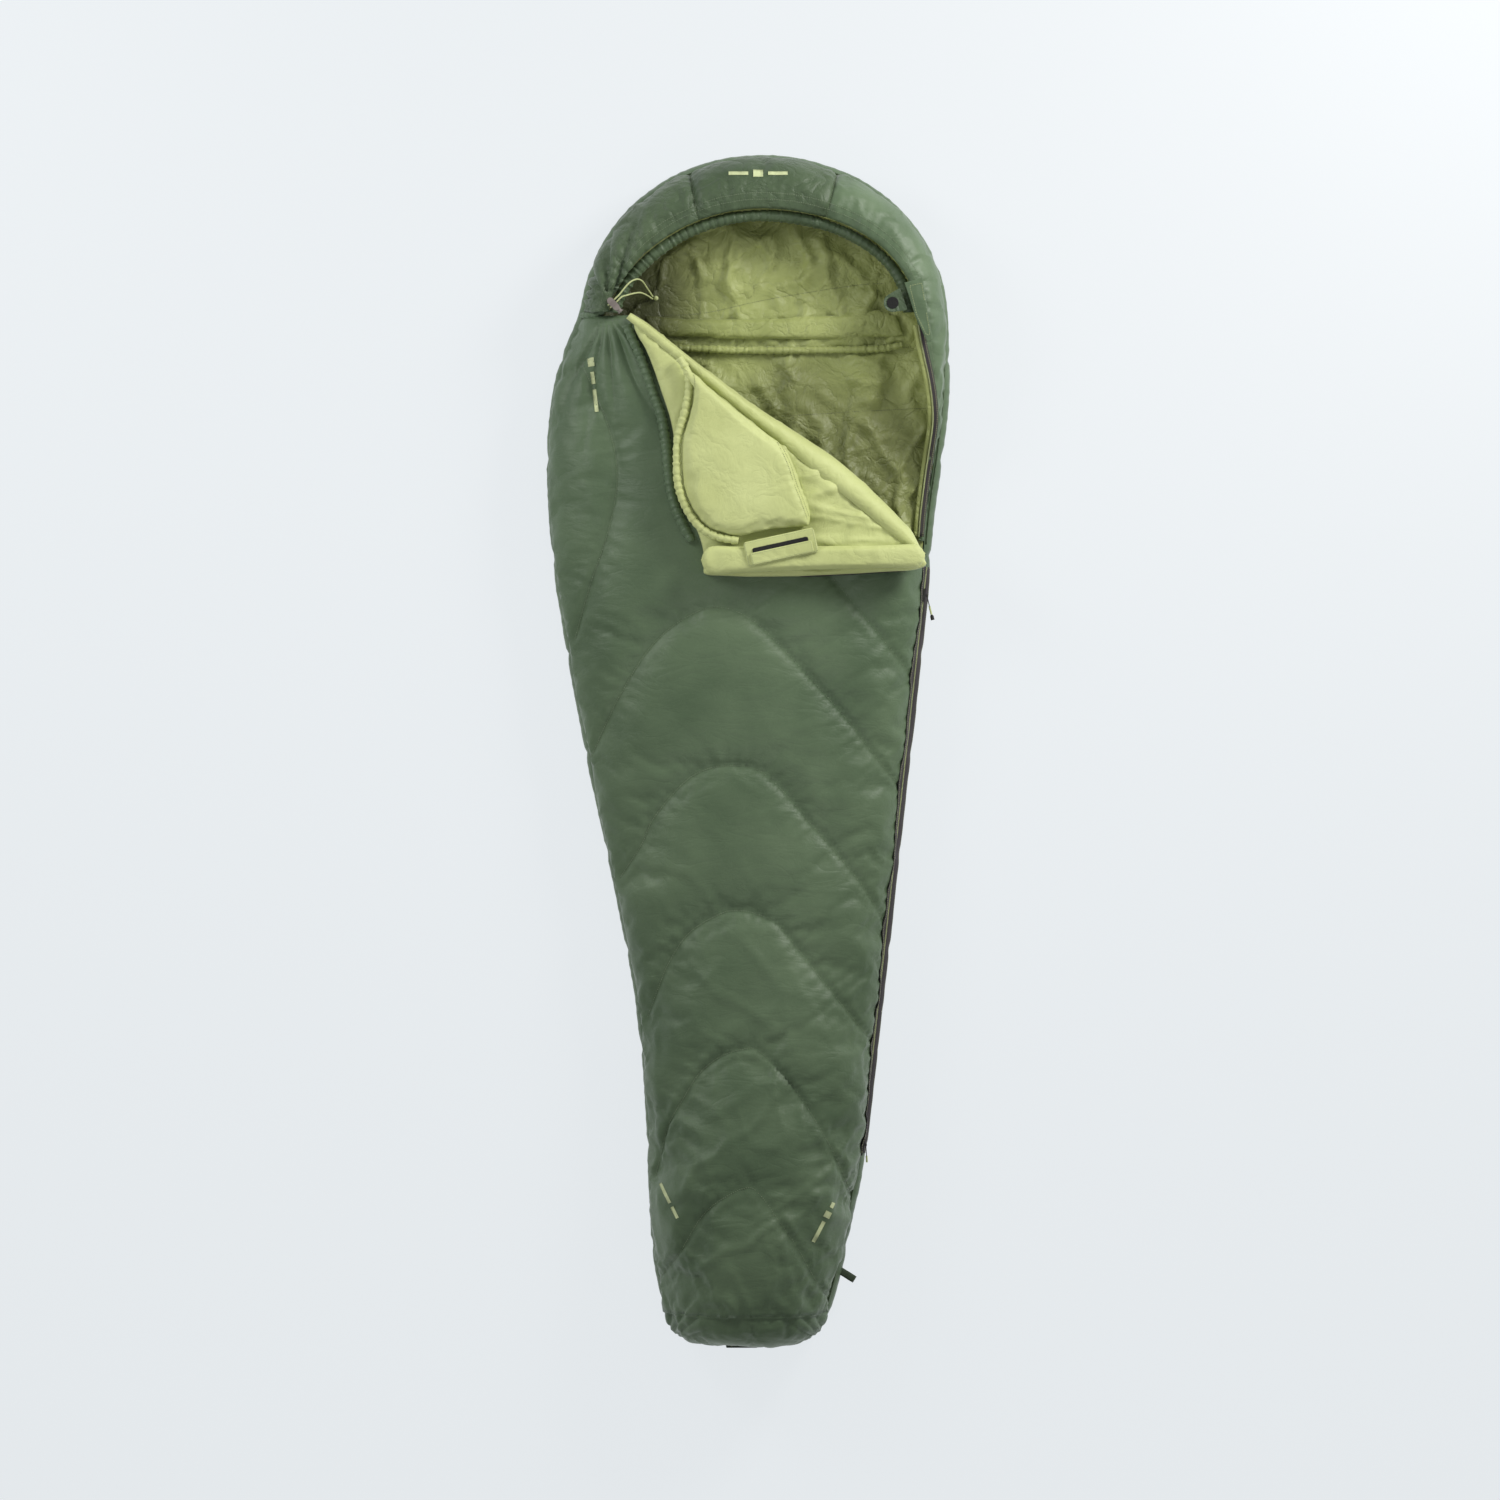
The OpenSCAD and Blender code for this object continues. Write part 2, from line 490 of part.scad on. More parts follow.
module zip_bottom_stop() color(zip_grey) at_zip(zip_l + 4) translate([tape_x, 0, coil_z - 3.4]) cube([3.6, 3.8, 6.8]);
module zip_top_stop_back() color(zip_grey) translate(open_line[len(open_line) - 1] + [0, 3, -0.2]) cube([6, 3, 3]);
module zip_top_stop_flap() color(zip_grey) translate(flap_zip_line[0] + [-4, -2, -1]) cube([3.6, 4, 3]);

// ---------- sliders and pullers ----------

pivot_x = 8.2;            // the puller's pivot stands this far out
pivot_r = 1.15;
plate_x = tooth_x + tooth_t + 0.4;
channel = coil_w + 0.55;  // half the slider's channel

module slider_body() {
    translate([plate_x, -slider_l / 2, coil_z - channel - 1.4]) cube([1.7, slider_l, 2 * channel + 2.8]);
    for (s = [-1, 1]) translate([tooth_x + 0.35, -slider_l / 2, coil_z + s * (channel + 0.7) - 0.7])
        cube([plate_x - tooth_x - 0.35, slider_l, 1.4]);
    for (s = [-1, 1]) translate([plate_x + 1.7, -2.2, coil_z + s * 3.6 - 0.6]) cube([pivot_x - plate_x, 4.4, 1.2]);
    translate([pivot_x, 0, coil_z - 3.4]) cylinder(h = 6.8, r = pivot_r, $fn = 32);
}

// The tab's eye turns on the slider's bar.
module pull_eye(turn) translate([pivot_x, 0, coil_z]) rotate([0, 0, turn]) difference() {
    union() {
        cylinder(h = 5.4, r = 2.1, center = true, $fn = 32);
        translate([-0.8, -20, -2.7]) cube([1.6, 19, 5.4]);
    }
    cylinder(h = 8, r = pivot_r + 0.08, center = true, $fn = 32);
    translate([0, -17, 0]) rotate([0, 90, 0]) cylinder(h = 4, r = 1.3, center = true, $fn = 24);
}
module on_pull(turn) translate([pivot_x, 0, coil_z]) rotate([0, 0, turn]) children();

bottom_s = zip_l - slider_l / 2 - 4;
module top_slider() color(zip_grey) at_zip(0) slider_body();
module top_pull_tab() color(zip_grey) at_zip(0) pull_eye(pull_rest);
module top_puller_cord() color(cord_green) at_zip(0) on_pull(pull_rest)
    translate([0, -20.2, 0]) rotate([90, 0, 0]) cylinder(h = 16, r = 1.8, $fn = 24);
module top_puller_bead() color(label_black) at_zip(0) on_pull(pull_rest)
    translate([0, -36.4, 0]) rotate([90, 0, 0]) {
        cylinder(h = 3, r1 = 1.8, r2 = 3.4, $fn = 24);
        translate([0, 0, 3]) cylinder(h = 7, r = 3.4, $fn = 24);
    }
module bottom_slider() color(zip_grey) at_zip(bottom_s) slider_body();
module bottom_pull_tab() color(zip_grey) at_zip(bottom_s) pull_eye(pull_rest / 2);
module bottom_puller_cord() color(cord_green) at_zip(bottom_s) on_pull(pull_rest / 2)
    translate([0, -20.2, 0]) rotate([90, 0, 0]) cylinder(h = 12, r = 1.8, $fn = 24);

// ---------- zip guard at the top of the zip ----------

guard_z = 144;
guard_edge = placed([[284, 852], [318, 862], [328, 795], [336, 748], [326, 742], [304, 790]]);
module zip_guard() color(shell_green) plate(guard_edge, guard_z, guard_z + 2);
tab_root = [278 * kx, 845 * ky];     // the guard tab's sewn edge
tab_root_end = [294 * kx, 800 * ky];
guard_turn = atan2(tab_root_end[1] - tab_root[1], tab_root_end[0] - tab_root[0]);
module at_guard() translate([tab_root[0], tab_root[1], guard_z - 8]) rotate([0, 0, guard_turn]) children();
module zip_guard_tab() color(shell_green) at_guard() linear_extrude(2) hull() {
    translate([2, -8]) square([42, 6]);
    translate([23, -24]) circle(r = 17, $fn = 48);
}
module guard_hook_patch() color(label_black) at_guard() translate([23, -24, 2]) cylinder(h = 1.2, r = 11, $fn = 48);

// ---------- loop and label ----------

loop_w = 13;
loop_gap = 6;
loop_t = 1.4;
module webbing_loop(reach) rotate([90, 0, 0]) linear_extrude(loop_w, center = true) difference() {
    hull() {
        square([2, loop_gap + 2 * loop_t], center = true);
        translate([reach - loop_gap / 2 - loop_t, 0]) circle(r = loop_gap / 2 + loop_t, $fn = 32);
    }
    hull() {
        translate([3, 0]) square([2, loop_gap], center = true);
        translate([reach - loop_gap / 2 - loop_t, 0]) circle(r = loop_gap / 2, $fn = 32);
    }
}
loop_y = -966 * ky;
loop_at = [right_x(loop_y) + 7, loop_y, 30];
module hang_loop() color(shell_green) translate(loop_at) rotate([0, 0, -32]) webbing_loop(26);

module foot_label() color(label_black)
    translate([-41 * kx, -bag_length / 2, seam_z - 1]) cube([58, bag_length / 2 + foot_y - foot_depth - 0.5, 1.4]);

// ---------- assembly ----------

back_shell();
back_insulation();
back_lining();
front_shell();
front_insulation();
front_lining();
foot_panel_shell();
foot_panel_insulation();
foot_panel_lining();
hood_shell_left();
hood_shell_centre();
hood_shell_right();
hood_insulation();
hood_lining();
hood_hem();
hood_drawcord();
cord_strand_upper();
cord_strand_lower();
cord_knot();
cord_lock_body();
cord_lock_button();
cord_lock_spring();
flap_shell();
flap_insulation();
flap_lining();
neck_hem();
neck_drawcord();
collar_front();
collar_back();
collar_back_channel();
draft_tube_flap();
draft_tube_lower();
collar_tab();
tab_hook_strip();
tab_cover();
zip_tape_back();
zip_coil_back();
zip_tape_front();
zip_coil_front();
zip_tape_flap();
zip_coil_flap();
zip_bottom_stop();
zip_top_stop_back();
zip_top_stop_flap();
top_slider();
top_pull_tab();
top_puller_cord();
top_puller_bead();
bottom_slider();
bottom_pull_tab();
bottom_puller_cord();
zip_guard();
zip_guard_tab();
guard_hook_patch();
hang_loop();
foot_label();
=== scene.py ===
import json
import math

import bpy
import numpy as np
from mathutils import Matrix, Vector, kdtree
from mathutils.bvhtree import BVHTree


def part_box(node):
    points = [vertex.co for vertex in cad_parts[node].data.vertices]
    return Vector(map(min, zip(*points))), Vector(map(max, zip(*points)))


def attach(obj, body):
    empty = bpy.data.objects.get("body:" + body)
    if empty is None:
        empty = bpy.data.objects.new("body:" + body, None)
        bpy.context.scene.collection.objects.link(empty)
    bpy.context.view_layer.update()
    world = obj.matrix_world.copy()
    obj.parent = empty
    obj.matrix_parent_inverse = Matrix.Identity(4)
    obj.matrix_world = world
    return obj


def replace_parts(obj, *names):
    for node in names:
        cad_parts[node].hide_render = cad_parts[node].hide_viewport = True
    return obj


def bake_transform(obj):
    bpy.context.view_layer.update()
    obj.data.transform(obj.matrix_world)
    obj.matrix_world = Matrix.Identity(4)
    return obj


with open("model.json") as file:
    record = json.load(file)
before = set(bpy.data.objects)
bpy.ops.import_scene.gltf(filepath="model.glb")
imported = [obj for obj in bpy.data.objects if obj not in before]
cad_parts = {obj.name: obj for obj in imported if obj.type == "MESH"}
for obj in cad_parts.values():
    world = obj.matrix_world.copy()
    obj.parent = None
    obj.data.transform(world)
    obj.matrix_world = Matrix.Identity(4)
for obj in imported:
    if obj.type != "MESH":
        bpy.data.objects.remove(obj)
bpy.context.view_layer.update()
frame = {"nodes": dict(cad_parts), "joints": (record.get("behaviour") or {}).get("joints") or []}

MM = 0.001
nodes = frame["nodes"]
joints = {j["name"]: j for j in frame["joints"]}


def vec(*v):
    return np.array(v, float)


def unit(v):
    return v / np.linalg.norm(v)


# ---------- places taken from the frame ----------

fold = joints["flap_fold"]
fold_a = vec(*fold["pos_m"])
fold_dir = vec(*fold["axis"])
if fold_dir[0] < 0:
    fold_dir = -fold_dir                       # from the hood down to the head of the zip
fold_out = vec(-fold_dir[1], fold_dir[0], 0)   # points from the fold line to the open side
flap_low = np.array(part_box("flap_shell")[0])
flap_high = np.array(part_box("flap_lining")[1])
lining_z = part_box("back_lining")[1][2]
seam_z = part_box("back_shell")[1][2]
front_low, front_high = [np.array(c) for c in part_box("front_shell")]
foot_y = front_low[1]
neck_y = front_high[1]
coil_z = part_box("zip_coil_front")[0][2]
down_zip = vec(*joints["top_slider_slide"]["axis"])
zip_out = vec(-down_zip[1], down_zip[0], 0)    # points out of the bag's side

# ---------- camera, lights and floor ----------

camera = bpy.data.objects.new("camera", bpy.data.cameras.new("camera"))
bpy.context.scene.collection.objects.link(camera)
camera.location = (0.003, 0, 10)
camera.data.lens = 129.8
camera.data.sensor_width = 36
camera.data.clip_end = 60
bpy.context.scene.camera = camera

world = bpy.data.worlds.new("studio")
world.use_nodes = True
world.node_tree.nodes["Background"].inputs["Color"].default_value = (0.97, 0.99, 1.0, 1)
world.node_tree.nodes["Background"].inputs["Strength"].default_value = 0.36
bpy.context.scene.world = world
bpy.context.scene.view_settings.view_transform = "Standard"


def area_light(name, place, target, size, power, colour):
    """A square light of the given size, turned to its target."""
    data = bpy.data.lights.new(name, "AREA")
    data.size = size
    data.energy = power
    data.color = colour
    light = bpy.data.objects.new(name, data)
    bpy.context.scene.collection.objects.link(light)
    light.location = place
    light.rotation_euler = (Vector(target) - Vector(place)).to_track_quat("-Z", "Y").to_euler()
    return light


area_light("key", (1.9, 2.0, 1.35), (0.05, 0.3, 0), 0.9, 66, (1.0, 0.99, 0.97))
area_light("side", (-2.1, 1.6, 1.7), (0, 0.3, 0), 0.9, 30, (0.99, 1.0, 1.0))
fill_light = area_light("fill", (0.1, -0.8, 2.0), (0.05, 0.75, 0.1), 0.7, 1.0, (1.0, 1.0, 0.98))
fill_light.data.spread = math.radians(70)


# ---------- materials ----------

def material(name, base, rough, sheen=0.0, metal=0.0):
    """A plain material. Returns it with its node tree and its shader."""
    m = bpy.data.materials.new(name)
    m.use_nodes = True
    s = m.node_tree.nodes["Principled BSDF"]
    s.inputs["Base Color"].default_value = (*base, 1)
    s.inputs["Roughness"].default_value = rough
    s.inputs["Sheen Weight"].default_value = sheen
    s.inputs["Sheen Roughness"].default_value = 0.4
    s.inputs["Metallic"].default_value = metal
    s.inputs["Specular IOR Level"].default_value = 0.35
    m.diffuse_color = (*base, 1)
    return m, m.node_tree, s


def texture(tree, kind, **values):
    """A new node of a tree, with its inputs or settings given by name."""
    n = tree.nodes.new(kind)
    for key, value in values.items():
        if key in n.inputs:
            n.inputs[key].default_value = value
        else:
            setattr(n, key, value)
    return n


def fabric(name, dark, light, weave, rough, sheen, crumple, threads=0.25, stretch=(1, 1, 1), painted_shade=()):
    """Woven cloth: two crossed sets of threads, a slow change of tone, and fine crumples.

    weave is the thread spacing in metres. painted_shade is a list of spots of painted shade, which darken the
    colour where a hollow would lie in shadow: x, y, radius and the factor by which the colour is darkened in
    the middle.
    """
    m, tree, s = material(name, light, rough, sheen)
    link = tree.links.new
    place = tree.nodes.new("ShaderNodeTexCoord")
    tone = texture(tree, "ShaderNodeTexNoise", Scale=7.0, Detail=3.0)
    fine = texture(tree, "ShaderNodeTexNoise", Scale=170.0, Detail=2.0)
    link(place.outputs["Object"], tone.inputs["Vector"])
    link(place.outputs["Object"], fine.inputs["Vector"])
    blend = tree.nodes.new("ShaderNodeMix")
    blend.data_type = "FLOAT"
    blend.inputs["Factor"].default_value = 0.12
    link(tone.outputs["Fac"], blend.inputs["A"])
    link(fine.outputs["Fac"], blend.inputs["B"])
    ramp = tree.nodes.new("ShaderNodeValToRGB")
    ramp.color_ramp.elements[0].position = 0.3
    ramp.color_ramp.elements[1].position = 0.7
    ramp.color_ramp.elements[0].color = (*dark, 1)
    ramp.color_ramp.elements[1].color = (*light, 1)
    link(blend.outputs["Result"], ramp.inputs["Fac"])
    colour = ramp.outputs["Color"]
    # Painted shade: each spot darkens the colour towards its middle.
    for x, y, size, darkest in painted_shade:
        near = tree.nodes.new("ShaderNodeVectorMath")
        near.operation = "DISTANCE"
        near.inputs[1].default_value = (x, y, 0.05)
        link(place.outputs["Object"], near.inputs[0])
        fade = tree.nodes.new("ShaderNodeMapRange")
        fade.interpolation_type = "SMOOTHSTEP"
        fade.inputs["From Min"].default_value = size * 0.2
        fade.inputs["From Max"].default_value = size
        fade.inputs["To Min"].default_value = darkest
        link(near.outputs["Value"], fade.inputs["Value"])
        darker = tree.nodes.new("ShaderNodeVectorMath")
        darker.operation = "SCALE"
        link(colour, darker.inputs[0])
        link(fade.outputs["Result"], darker.inputs["Scale"])
        colour = darker.outputs["Vector"]
    link(colour, s.inputs["Base Color"])
    waves = []
    for direction in ("X", "Y"):
        w = texture(tree, "ShaderNodeTexWave", Scale=0.31 / weave, Distortion=0.6, Detail=1.0)
        w.bands_direction = direction
        link(place.outputs["Object"], w.inputs["Vector"])
        waves.append(w)
    cross = tree.nodes.new("ShaderNodeMath")
    cross.operation = "MULTIPLY"
    link(waves[0].outputs["Fac"], cross.inputs[0])
    link(waves[1].outputs["Fac"], cross.inputs[1])
    thread = tree.nodes.new("ShaderNodeBump")
    thread.inputs["Strength"].default_value = threads
    thread.inputs["Distance"].default_value = 0.0004
    link(cross.outputs["Value"], thread.inputs["Height"])
    drawn = texture(tree, "ShaderNodeMapping", Scale=stretch)
    link(place.outputs["Object"], drawn.inputs["Vector"])
    folds = texture(tree, "ShaderNodeTexNoise", Scale=20.0, Detail=5.0, Distortion=0.5)
    link(drawn.outputs["Vector"], folds.inputs["Vector"])
    height = folds.outputs["Fac"]
    for operation, value in (("SUBTRACT", 0.5), ("ABSOLUTE", 0), ("MULTIPLY", 2.4), ("POWER", 0.7)):
        step_node = tree.nodes.new("ShaderNodeMath")
        step_node.operation = operation
        step_node.inputs[1].default_value = value
        link(height, step_node.inputs[0])
        height = step_node.outputs["Value"]
    crease = tree.nodes.new("ShaderNodeBump")
    crease.inputs["Strength"].default_value = crumple
    crease.inputs["Distance"].default_value = 0.007
    link(height, crease.inputs["Height"])
    link(thread.outputs["Normal"], crease.inputs["Normal"])
    link(crease.outputs["Normal"], s.inputs["Normal"])
    return m


def moulded(name, base, rough, grain=0.15, metal=0.0):
    """Moulded or cast stuff with a fine grain and slight wear."""
    m, tree, s = material(name, base, rough, metal=metal)
    link = tree.links.new
    place = tree.nodes.new("ShaderNodeTexCoord")
    grains = texture(tree, "ShaderNodeTexNoise", Scale=900.0, Detail=3.0)
    link(place.outputs["Object"], grains.inputs["Vector"])
    bump = tree.nodes.new("ShaderNodeBump")
    bump.inputs["Strength"].default_value = grain
    bump.inputs["Distance"].default_value = 0.0003
    link(grains.outputs["Fac"], bump.inputs["Height"])
    link(bump.outputs["Normal"], s.inputs["Normal"])
    wear = texture(tree, "ShaderNodeTexNoise", Scale=60.0, Detail=4.0)
    link(place.outputs["Object"], wear.inputs["Vector"])
    ramp = tree.nodes.new("ShaderNodeValToRGB")
    ramp.color_ramp.elements[0].color = (*[c * 0.8 for c in base], 1)
    ramp.color_ramp.elements[1].color = (*[min(1, c * 1.25 + 0.01) for c in base], 1)
    link(wear.outputs["Fac"], ramp.inputs["Fac"])
    link(ramp.outputs["Color"], s.inputs["Base Color"])
    return m


def braided(name, dark, light):
    """Round braided cord."""
    m, tree, s = material(name, light, 0.7, sheen=0.2)
    link = tree.links.new
    place = tree.nodes.new("ShaderNodeTexCoord")
    cells = texture(tree, "ShaderNodeTexVoronoi", Scale=1300.0)
    link(place.outputs["Object"], cells.inputs["Vector"])
    ramp = tree.nodes.new("ShaderNodeValToRGB")
    ramp.color_ramp.elements[0].color = (*light, 1)
    ramp.color_ramp.elements[1].color = (*dark, 1)
    ramp.color_ramp.elements[1].position = 0.8
    link(cells.outputs["Distance"], ramp.inputs["Fac"])
    link(ramp.outputs["Color"], s.inputs["Base Color"])
    bump = tree.nodes.new("ShaderNodeBump")
    bump.inputs["Strength"].default_value = 0.5
    bump.inputs["Distance"].default_value = 0.0004
    link(cells.outputs["Distance"], bump.inputs["Height"])
    link(bump.outputs["Normal"], s.inputs["Normal"])
    return m


shell = fabric("shell_fabric", (0.074, 0.116, 0.060), (0.118, 0.172, 0.094), 0.0009, 0.42, 0.1, 0.18,
               stretch=(0.6, 1.3, 1))
hood_cloth = fabric("hood_fabric", (0.053, 0.083, 0.041), (0.083, 0.122, 0.062), 0.0009, 0.45, 0.1, 0.55)
# The lining's spots are painted shade: in the hollow under the hood's left side and below the flap's fold.
lining = fabric("lining_fabric", (0.240, 0.275, 0.088), (0.370, 0.410, 0.150), 0.0008, 0.42, 0.1, 0.7,
                painted_shade=((-0.22, 0.83, 0.20, 0.18), (0.22, 0.53, 0.20, 0.50), (0.08, 0.65, 0.13, 0.60)))
# The lining's colour painted lighter, as lining that faces the light. It is used for the flap's lining, the
# fold, the collar, the draft tubes and the tab.
painted_lit_lining = fabric("collar_fabric", (0.46, 0.50, 0.195), (0.58, 0.625, 0.275), 0.0008, 0.55, 0.1, 0.3)
tape_cloth = fabric("zip_tape", (0.030, 0.026, 0.028), (0.060, 0.052, 0.054), 0.0011, 0.75, 0.1, 0.1, 0.6)
webbing = fabric("webbing", (0.045, 0.065, 0.038), (0.075, 0.100, 0.060), 0.0014, 0.8, 0.1, 0.1, 0.8)
label_cloth = fabric("label", (0.030, 0.045, 0.028), (0.055, 0.075, 0.048), 0.0007, 0.6, 0.1, 0.1, 0.5)
hook_cloth = fabric("hook_tape", (0.010, 0.010, 0.010), (0.028, 0.028, 0.026), 0.0012, 0.9, 0.0, 0.2, 1.0)
thread_stuff = braided("thread", (0.17, 0.22, 0.13), (0.28, 0.34, 0.20))
# Thread painted dark, to stand in for the shade in the sunk seams of the lining and the collar.
dark_thread = braided("dark_thread", (0.09, 0.10, 0.040), (0.16, 0.18, 0.075))
light_thread = braided("light_thread", (0.40, 0.43, 0.20), (0.56, 0.60, 0.32))
cord_stuff = braided("elastic_cord", (0.38, 0.42, 0.18), (0.66, 0.71, 0.38))
print_ink = moulded("print_ink", (0.50, 0.55, 0.30), 0.6, 0.3)
coil_stuff = moulded("zip_coil", (0.46, 0.51, 0.25), 0.45)
zip_metal = moulded("zip_metal", (0.035, 0.034, 0.032), 0.4, 0.2, 0.3)
lock_plastic = moulded("lock_plastic", (0.20, 0.17, 0.155), 0.42, 0.25)
bead_plastic = moulded("bead_plastic", (0.016, 0.016, 0.016), 0.45, 0.2)
steel = moulded("spring_steel", (0.55, 0.55, 0.55), 0.3, 0.1, 1.0)

for node, stuff in {
    "cord_lock_body": lock_plastic, "cord_lock_button": lock_plastic, "cord_lock_spring": steel,
    "cord_knot": cord_stuff, "hood_drawcord": cord_stuff, "neck_drawcord": cord_stuff,
    "top_slider": zip_metal, "top_pull_tab": zip_metal, "top_puller_cord": cord_stuff,
    "top_puller_bead": bead_plastic, "bottom_slider": zip_metal, "bottom_pull_tab": zip_metal,
    "bottom_puller_cord": cord_stuff, "zip_bottom_stop": zip_metal, "zip_top_stop_back": zip_metal,
    "zip_top_stop_flap": zip_metal,
}.items():
    nodes[node].data.materials.clear()
    nodes[node].data.materials.append(stuff)

floor_size = 14
floor_mesh = bpy.data.meshes.new("floor")
floor_corners = [(x * floor_size, y * floor_size, -0.001) for x, y in ((-1, -1), (1, -1), (1, 1), (-1, 1))]
floor_mesh.from_pydata(floor_corners, [], [(0, 1, 2, 3)])
floor_piece = bpy.data.objects.new("floor", floor_mesh)
bpy.context.scene.collection.objects.link(floor_piece)
floor_stuff, _, floor_shader = material("floor_paper", (0.10, 0.10, 0.10), 0.95)
floor_shader.inputs["Emission Color"].default_value = (0.72, 0.755, 0.78, 1)
floor_shader.inputs["Emission Strength"].default_value = 1.0
floor_mesh.materials.append(floor_stuff)


# ---------- curves, noise and meshes ----------

def spline(points, steps):
    """A smooth line through the points, the same one that the CAD model uses."""
    p = np.array(points, float)
    out = []
    for i in range(len(p) - 1):
        a, b, c, d = p[max(0, i - 1)], p[i], p[i + 1], p[min(len(p) - 1, i + 2)]
        for k in range(steps):
            t = k / steps
            out.append(0.5 * (2 * b + (c - a) * t + (2 * a - 5 * b + 4 * c - d) * t ** 2
                              + (3 * b - a - 3 * c + d) * t ** 3))
    return np.array(out + [p[-1]])


def along(line):
    """Distance along a line at each of its points."""
    return np.concatenate([[0], np.cumsum(np.linalg.norm(np.diff(line, axis=0), axis=1))])


def resample(line, count):
    """The line again, with evenly spaced points."""
    s = along(line)
    t = np.linspace(0, s[-1], count)
    return np.stack([np.interp(t, s, line[:, k]) for k in range(line.shape[1])], 1)


def smoothstep(t):
    """0 up to t = 0, 1 from t = 1, and a soft rise between."""
    t = np.clip(t, 0, 1)
    return t * t * (3 - 2 * t)


def noise(p, size, seed=0):
    """Smooth noise from -1 to 1, with features about size across. size may differ by axis."""
    lattice = np.random.RandomState(seed).uniform(-1, 1, (24, 24, 24))
    q = np.asarray(p) / np.asarray(size)
    i = np.floor(q).astype(int)
    f = smoothstep(q - i)
    total = 0
    for x in (0, 1):
        for y in (0, 1):
            for z in (0, 1):
                w = (f[..., 0] if x else 1 - f[..., 0]) * (f[..., 1] if y else 1 - f[..., 1])
                w = w * (f[..., 2] if z else 1 - f[..., 2])
                total = total + w * lattice[(i[..., 0] + x) % 24, (i[..., 1] + y) % 24, (i[..., 2] + z) % 24]
    return total


def creases(p, size, seed=0):
    """Ridged noise, for folds of cloth: 0 on the flat and 1 along the ridges."""
    return np.clip(1 - 3.2 * np.abs(noise(p, size, seed)), 0, 1) ** 1.5


def turned(p, degrees):
    """Plan coordinates turned, so that noise can be stretched along a slant."""
    a = math.radians(degrees)
    q = np.array(p, float)
    q[..., 0], q[..., 1] = (p[..., 0] * math.cos(a) + p[..., 1] * math.sin(a),
                            -p[..., 0] * math.sin(a) + p[..., 1] * math.cos(a))
    return q


def blur(g, sigma):
    """A grid of points smoothed along its first axis, keeping its two ends."""
    reach = int(3 * sigma)
    kernel = np.exp(-0.5 * (np.arange(-reach, reach + 1) / sigma) ** 2)
    kernel /= kernel.sum()
    g = np.asarray(g, float)
    first, last = g[:1], g[-1:]
    head = 2 * first - g[1:reach + 1][::-1]
    tail = 2 * last - g[-reach - 1:-1][::-1]
    wide = np.concatenate([head, g, tail])
    return sum(kernel[k] * wide[k:k + len(g)] for k in range(len(kernel)))


def plan(points):
    """Plan points given in millimetres."""
    return np.array(points, float) * MM


def lifted(p, rise):
    """Points moved up by rise."""
    p = np.array(p, float)
    p[..., 2] += rise
    return p


def normals(g):
    """The direction that faces out of a grid, at each point."""
    n = np.cross(np.gradient(g, axis=1), np.gradient(g, axis=0))
    return n / np.maximum(np.linalg.norm(n, axis=2, keepdims=True), 1e-12)


def quads(m, n, base=0, flip=False, loop=False):
    """Faces of a grid of m rows and n columns. loop joins the last column to the first."""
    cols = np.arange(n if loop else n - 1)
    i = np.arange(m - 1)[:, None] * n
    a, b = (i + cols).ravel() + base, (i + (cols + 1) % n).ravel() + base
    q = np.stack([a, b, b + n, a + n], 1)
    return (q[:, ::-1] if flip else q).tolist()


def piece(name, verts, faces, stuffs, which=None, body="bag", ride=True):
    """A new smooth mesh. which gives each face's material, if there are several."""
    mesh = bpy.data.meshes.new(name)
    mesh.from_pydata(np.asarray(verts).reshape(-1, 3).tolist(), [], faces)
    for stuff in stuffs if isinstance(stuffs, (list, tuple)) else [stuffs]:
        mesh.materials.append(stuff)
    if which is not None:
        mesh.polygons.foreach_set("material_index", np.array(which, np.int32))
    mesh.polygons.foreach_set("use_smooth", np.ones(len(faces), bool))
    mesh.update()
    obj = bpy.data.objects.new(name, mesh)
    bpy.context.scene.collection.objects.link(obj)
    if ride:
        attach(obj, body)
    return obj


def slab(name, top, bottom, stuffs, body="bag", ride=True):
    """A closed piece between two grids of the same shape."""
    m, n = top.shape[:2]
    half = m * n
    faces = quads(m, n) + quads(m, n, half, True)
    for j in range(n - 1):
        a = (m - 1) * n + j
        faces += [[j, half + j, half + j + 1, j + 1], [a, a + 1, half + a + 1, half + a]]
    for i in range(m - 1):
        a, b = i * n, i * n + n - 1
        faces += [[a, a + n, half + a + n, half + a], [b, half + b, half + b + n, b + n]]
    verts = np.concatenate([top.reshape(-1, 3), bottom.reshape(-1, 3)])
    return piece(name, verts, faces, stuffs, None, body, ride)


def sheet(name, top, thickness, stuff, slot, fill, *stands_for):
    """A padded cloth of the bag's body under a grid, in the place of its CAD nodes."""
    obj = slab(name, top, top - normals(top) * thickness, stuff)
    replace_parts(obj, *stands_for)


def axes_along(line, up=(0, 0, 1)):
    """A line's direction, side and upper side at each point. up is one direction, or one per point."""
    t = np.gradient(line, axis=0)
    t /= np.maximum(np.linalg.norm(t, axis=1, keepdims=True), 1e-12)
    side = np.cross(t, np.asarray(up, float))
    side /= np.maximum(np.linalg.norm(side, axis=1, keepdims=True), 1e-9)
    return t, side, np.cross(side, t)


